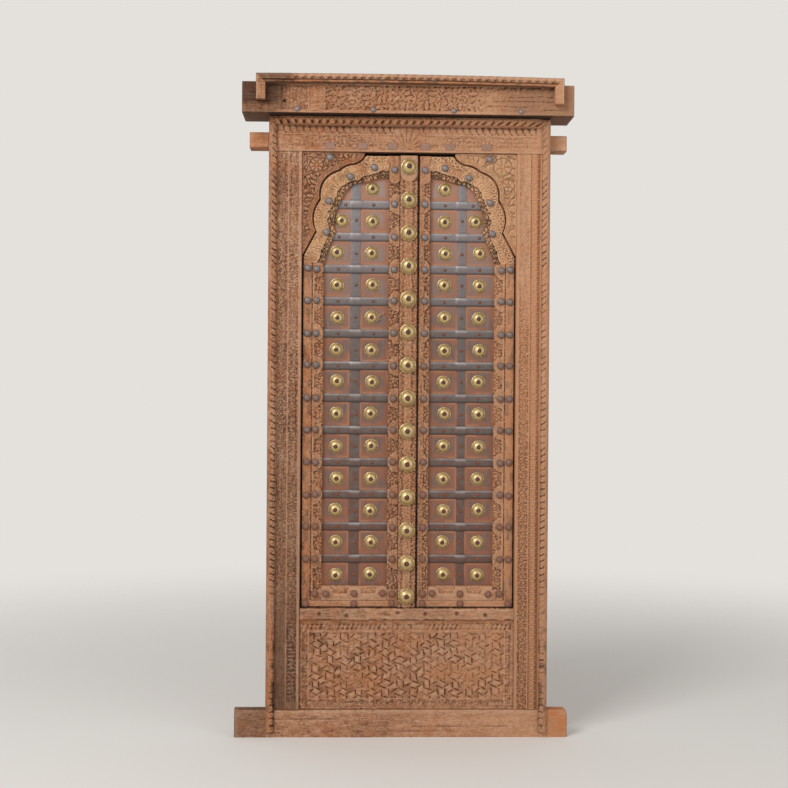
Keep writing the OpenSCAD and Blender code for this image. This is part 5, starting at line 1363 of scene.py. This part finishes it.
class CARVEDWINDOW_OT_head(CarvedWindowOperator, bpy.types.Operator):
    """Carves the head beam and its horns"""

    bl_idname = "carved_window.head"
    bl_label = "Head beam"

    def execute(self, context):
        low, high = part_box("head_beam")
        rise, tall, depth = 17 * MM, 51 * MM, 70 * MM
        z0, z1 = low.z + rise, low.z + rise + tall
        parts = [head(self.carving),
                 beam((low.x, high.y - depth, z0), (-FRAME_HALF, high.y, z1), 4 * MM, 0, 0.45, 7),
                 beam((FRAME_HALF, high.y - depth, z0), (high.x, high.y, z1), 4 * MM, 0, 0.0, 8)]
        # A liner above the leaves with a tint of -1 paints the gap under the head near black as shade.
        liner_half = 0.3
        parts.append(beam((-liner_half, 2 * MM, LEAF_TOP + 1.5 * MM), (liner_half, BACK - 5 * MM, HEAD_LOW),
                          50 * MM, 0, -1.0))
        make("head_beam_carved", parts, paint("weathered_teak_carved_level"), "frame",
             ["head_beam"])
        return {"FINISHED"}


class CARVEDWINDOW_OT_lintel(CarvedWindowOperator, bpy.types.Operator):
    """Carves the lintel and the trim on it"""

    bl_idname = "carved_window.lintel"
    bl_label = "Lintel and trim"

    def execute(self, context):
        level = paint("weathered_teak_carved_level")
        make("lintel_carved", [lintel(self.carving)], level, "frame", ["lintel"])
        for part, node in ((0, "cornice_strip"), (-1, "left_cornice_leg"), (1, "right_cornice_leg")):
            make(node + "_carved", [cornice(part, self.carving)], level, "frame", [node])
        return {"FINISHED"}


class CARVEDWINDOW_OT_sill(CarvedWindowOperator, bpy.types.Operator):
    """Shapes the sill beam and the rail under the shutters"""

    bl_idname = "carved_window.sill"
    bl_label = "Sill and rail"

    def execute(self, context):
        level = paint("weathered_teak_sawn_level")
        make("sill_beam_worn", sill(), level, "frame", ["sill_beam"])
        make("sill_rail_worn", [rail()], level, "frame", ["sill_rail"])
        return {"FINISHED"}


class CARVEDWINDOW_OT_apron(CarvedWindowOperator, bpy.types.Operator):
    """Carves the apron's woven lattice"""

    bl_idname = "carved_window.apron"
    bl_label = "Apron"

    def execute(self, context):
        make("apron_panel_carved", [apron(self.carving)], paint("weathered_teak_carved_level"),
             "frame", ["apron_panel"])
        return {"FINISHED"}


class CARVEDWINDOW_OT_spandrels(CarvedWindowOperator, bpy.types.Operator):
    """Carves the two spandrels"""

    bl_idname = "carved_window.spandrels"
    bl_label = "Spandrels"

    def execute(self, context):
        wood = {"left": "weathered_teak_carved_upright", "right": "sandy_teak_carved"}
        for name in SIDES:
            make(name + "_spandrel_carved", [spandrel(name, self.carving)],
                 paint(wood[name]), "frame", [name + "_spandrel"])
        return {"FINISHED"}


class CARVEDWINDOW_OT_arches(CarvedWindowOperator, bpy.types.Operator):
    """Carves the cusped arch of each shutter"""

    bl_idname = "carved_window.arches"
    bl_label = "Arches"

    def execute(self, context):
        for name in SIDES:
            make(name + "_arch_carved", [arch(name, self.carving)], paint("sandy_teak_carved"),
                 name + "_shutter", [name + "_arch"])
        return {"FINISHED"}


class CARVEDWINDOW_OT_battens(CarvedWindowOperator, bpy.types.Operator):
    """Carves the battens and foot pieces of each shutter"""

    bl_idname = "carved_window.battens"
    bl_label = "Battens"

    def execute(self, context):
        upright, level = paint("weathered_teak_carved_upright"), paint("weathered_teak_carved_level")
        for name in SIDES:
            body = name + "_shutter"
            low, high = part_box(name + "_foot_strip")
            strip = beam(tuple(low), tuple(high), 3 * MM, 0, 0.2, 10)
            for node, part, material in (
                    ("_hinge_batten", hinge_batten(name, self.carving), upright),
                    ("_meeting_batten", meeting_batten(name, self.carving), upright),
                    ("_foot_band", foot_band(name), level),
                    ("_foot_strip", strip, paint("weathered_teak_sawn_level"))):
                make(name + node + "_carved", [part], material, body, [name + node])
        return {"FINISHED"}


class CARVEDWINDOW_OT_astragal(CarvedWindowOperator, bpy.types.Operator):
    """Carves the astragal along the meeting edge"""

    bl_idname = "carved_window.astragal"
    bl_label = "Astragal"

    def execute(self, context):
        make("astragal_carved", [astragal(self.carving)], paint("weathered_teak_carved_upright"),
             "left_shutter", ["astragal"])
        return {"FINISHED"}


class CARVEDWINDOW_OT_straps(CarvedWindowOperator, bpy.types.Operator):
    """Makes the sheet iron fields and the straps on them"""

    bl_idname = "carved_window.straps"
    bl_label = "Fields and straps"

    def execute(self, context):
        iron = paint("wrought_iron_forged_strap")
        for name in SIDES:
            body = name + "_shutter"
            make(name + "_field_sheet_rusted", [field_sheet(name)], paint("sheet_iron_rolled_rusted"),
                 body, [name + "_field_sheet"])
            make(name + "_upright_strap_forged", [upright_strap(name)], iron, body,
                 [name + "_upright_strap"])
            rows = [cross_strap(name, row) for row in range(STRAP_ROWS)]
            make(name + "_cross_straps_forged", rows, iron, body, [name + "_cross_straps"])
        return {"FINISHED"}


class CARVEDWINDOW_OT_bosses(CarvedWindowOperator, bpy.types.Operator):
    """Casts the brass bosses and forges their pins"""

    bl_idname = "carved_window.bosses"
    bl_label = "Bosses"

    def execute(self, context):
        brass, pin, nudge = paint("brass_cast_rubbed"), paint("wrought_iron_rusted_pin"), 5 * MM
        groups = (("left_bosses", "left_boss_pins", "left_shutter"),
                  ("right_bosses", "right_boss_pins", "right_shutter"),
                  ("astragal_bosses", "astragal_pins", "left_shutter"))
        for seed, (node, pins, body) in enumerate(groups):
            at = places(pins) - [[nudge * (node == "left_bosses"), 0]]
            low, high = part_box(node)
            tall = high.y - low.y
            radius = at[:, 1].min() - low.z
            shell = domes(at, high.y, BOSS_PROFILE * [radius, tall], 32, 0.05, 170 + seed, 1.0)
            make_heads(node, "_cast", shell, brass, body)
            head_r, head_h = 0.32 * radius, 4.4 * MM
            heads = domes(at, low.y + 0.4 * MM, dome_profile(head_r, head_h), 12, 0.25, 180 + seed)
            make_heads(pins, "_forged", heads, pin, body)
        return {"FINISHED"}


class CARVEDWINDOW_OT_nails(CarvedWindowOperator, bpy.types.Operator):
    """Forges the dome nails and rivets, and finishes the plates on the head"""

    bl_idname = "carved_window.nails"
    bl_label = "Nails and rivets"

    def execute(self, context):
        nail, rust = paint("wrought_iron_forged_nail"), paint("wrought_iron_rusted_rivet")
        nail_head = dome_profile(12 * MM, 8 * MM)
        for name in SIDES:
            body = name + "_shutter"
            # The nail heads' rim relief of -0.3 paints shade round their foot.
            heads = domes(places(name + "_dome_nails"), OVERLAY_Y + 0.4 * MM, nail_head, 16, 0.16, 190, -0.3)
            make_heads(name + "_dome_nails", "_forged", heads, nail, body)
            at = places(name + "_rivets")
            on_strap = np.abs(at[:, 1:] - STRAP_Z).min(1) < 8 * MM
            seat = np.where(on_strap, STRAP_Y, UPRIGHT_Y) + 0.5 * MM
            heads = domes(at, seat, dome_profile(5.5 * MM, 3.4 * MM), 10, 0.3, 195)
            make_heads(name + "_rivets", "_forged", heads, rust, body)
        seat = edge("lintel", 0, "Y") + 1 * MM
        heads = domes(places("lintel_nails"), seat, dome_profile(8.5 * MM, 6.5 * MM), 14, 0.2, 197)
        make_heads("lintel_nails", "_forged", heads, nail, "frame")
        # The nail heads' rim relief of -0.3 paints shade round their foot.
        heads = domes(places("spandrel_nails"), SPANDREL_Y + 0.8 * MM, nail_head, 16, 0.16, 198, -0.3)
        make_heads("spandrel_nails", "_forged", heads, nail, "frame")
        dress("head_plates", "wrought_iron_worn_plate")
        return {"FINISHED"}


class CARVEDWINDOW_OT_planks(CarvedWindowOperator, bpy.types.Operator):
    """Finishes the planks and ledges, which keep their own shapes"""

    bl_idname = "carved_window.planks"
    bl_label = "Planks and ledges"

    def execute(self, context):
        for name in SIDES:
            for node, material in (("_hinge_plank", "upright"), ("_meeting_plank", "upright"),
                                   ("_top_ledge", "level"), ("_middle_ledge", "level"),
                                   ("_bottom_ledge", "level")):
                dress(name + node, "weathered_teak_sawn_" + material)
        return {"FINISHED"}


class CARVEDWINDOW_OT_stage(CarvedWindowOperator, bpy.types.Operator):
    """Sets the floor, the lamps, the room light and the camera"""

    bl_idname = "carved_window.stage"
    bl_label = "Stage"

    def execute(self, context):
        stage = context.scene.window_stage
        make_floor(stage)
        make_lamp("key_lamp", (-2.9, -3.9, 4.3), (0.0, 0.0, 1.15), 2.4, stage.key_power)
        make_lamp("fill_lamp", (3.4, -3.4, 2.0), (0.0, 0.0, 1.0), 3.0, stage.fill_power)
        make_room(context.scene, stage)
        make_camera(context.scene, stage)
        context.scene.view_settings.view_transform = "Standard"
        return {"FINISHED"}


def make_floor(stage):
    """A flat disc on polar coordinates, whose edge fades into the backdrop."""
    radius, rings, segments = 6.0, 12, 64
    r = np.linspace(0, radius, rings + 1)[1:, None]
    angle = np.linspace(0, 2 * np.pi, segments, endpoint=False)
    ring = np.stack([r * np.cos(angle), r * np.sin(angle), 0 * r * angle], -1).reshape(-1, 3)
    at = np.arange(rings * segments).reshape(rings, segments)
    after = np.roll(at, -1, 1)
    quads = np.stack([at[:-1], at[1:], after[1:], after[:-1]], -1).reshape(-1, 4)
    mesh = bpy.data.meshes.new("floor")
    mesh.from_pydata(ring.tolist(), [], quads.tolist() + [at[0].tolist()])
    material, tree, shader, place = start_material("plain_pale_floor")
    far = add(tree, "ShaderNodeVectorMath", {0: place}, operation="LENGTH").outputs["Value"]
    shown = add(tree, "ShaderNodeMapRange",
                {"Value": far, "From Min": 1.1, "From Max": 4.5, "To Min": 1.0, "To Max": 0.0},
                interpolation_type="SMOOTHSTEP").outputs["Result"]
    feed(shader, {"Base Color": opaque(stage.floor), "Roughness": 0.9, "Alpha": shown})
    mesh.materials.append(material)
    floor = bpy.data.objects.new("floor", mesh)
    bpy.context.scene.collection.objects.link(floor)


def make_lamp(name, place, target, size, power):
    """A square soft lamp that faces its target."""
    data = bpy.data.lights.new(name, "AREA")
    data.size, data.energy = size, power
    lamp = bpy.data.objects.new(name, data)
    lamp.location = place
    lamp.rotation_euler = (Vector(target) - Vector(place)).to_track_quat("-Z", "Y").to_euler()
    bpy.context.scene.collection.objects.link(lamp)


def make_room(scene, stage):
    """Even light from all sides, which the camera, shine and glass see as a pale backdrop."""
    world = bpy.data.worlds.new("pale_room")
    world.use_nodes = True
    tree = world.node_tree
    tree.nodes.clear()
    path = add(tree, "ShaderNodeLightPath")
    even_light = add(tree, "ShaderNodeBackground", {"Color": (1, 0.98, 0.95, 1), "Strength": stage.sky})
    backdrop = add(tree, "ShaderNodeBackground", {"Color": opaque(stage.floor), "Strength": 1.0})
    seen = path.outputs["Is Camera Ray"]
    for ray in ("Is Glossy Ray", "Is Transmission Ray"):
        seen = add(tree, "ShaderNodeMath", {0: seen, 1: path.outputs[ray]}, operation="MAXIMUM").outputs[0]
    both = add(tree, "ShaderNodeMixShader", {0: seen, 1: even_light.outputs[0], 2: backdrop.outputs[0]})
    add(tree, "ShaderNodeOutputWorld", {"Surface": both.outputs[0]})
    scene.world = world


def make_camera(scene, stage):
    """The camera from its place, yaw, pitch and roll, for a square picture."""
    yaw, pitch, roll = stage.yaw, stage.pitch, stage.roll
    forward = Vector((math.sin(yaw) * math.cos(pitch), math.cos(yaw) * math.cos(pitch), math.sin(pitch)))
    right = Vector((math.cos(yaw), -math.sin(yaw), 0))
    up = right.cross(forward)
    across = right * math.cos(roll) + up * math.sin(roll)
    upright = up * math.cos(roll) - right * math.sin(roll)
    data = bpy.data.cameras.new("camera")
    data.sensor_width, data.lens = 36, stage.lens
    camera = bpy.data.objects.new("camera", data)
    turn = Matrix((across, upright, -forward)).transposed().to_4x4()
    camera.matrix_world = Matrix.Translation(stage.place) @ turn
    scene.collection.objects.link(camera)
    scene.camera = camera


class CARVEDWINDOW_PT_panel(bpy.types.Panel):
    """The window's sizes, finishes and making steps"""

    bl_label = "Carved Teak Window"
    bl_idname = "CARVEDWINDOW_PT_panel"
    bl_space_type = "VIEW_3D"
    bl_region_type = "UI"
    bl_category = "Window"

    def draw(self, context):
        column = self.layout.column()
        for group in (context.scene.window_carving, context.scene.window_finish, context.scene.window_stage):
            for key in group.bl_rna.properties.keys():
                if key not in ("rna_type", "name"):
                    column.prop(group, key)
        for step in STEPS:
            column.operator(step.bl_idname)


STEPS = (
    CARVEDWINDOW_OT_finishes, CARVEDWINDOW_OT_stage, CARVEDWINDOW_OT_jambs, CARVEDWINDOW_OT_rolls,
    CARVEDWINDOW_OT_head, CARVEDWINDOW_OT_lintel, CARVEDWINDOW_OT_sill, CARVEDWINDOW_OT_apron,
    CARVEDWINDOW_OT_spandrels, CARVEDWINDOW_OT_arches, CARVEDWINDOW_OT_battens,
    CARVEDWINDOW_OT_astragal, CARVEDWINDOW_OT_straps, CARVEDWINDOW_OT_bosses,
    CARVEDWINDOW_OT_nails, CARVEDWINDOW_OT_planks)
GROUPS = {"window_carving": WindowCarving, "window_finish": WindowFinish, "window_stage": WindowStage}


def register():
    for name, group in GROUPS.items():
        bpy.utils.register_class(group)
        setattr(bpy.types.Scene, name, bpy.props.PointerProperty(type=group))
    for kind in STEPS + (CARVEDWINDOW_PT_panel,):
        bpy.utils.register_class(kind)


def unregister():
    for kind in reversed(STEPS + (CARVEDWINDOW_PT_panel,)):
        bpy.utils.unregister_class(kind)
    for name, group in reversed(GROUPS.items()):
        delattr(bpy.types.Scene, name)
        bpy.utils.unregister_class(group)


def main():
    register()
    for step in STEPS:
        family, name = step.bl_idname.split(".")
        getattr(getattr(bpy.ops, family), name)()
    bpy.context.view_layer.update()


if __name__ == "__main__":
    main()
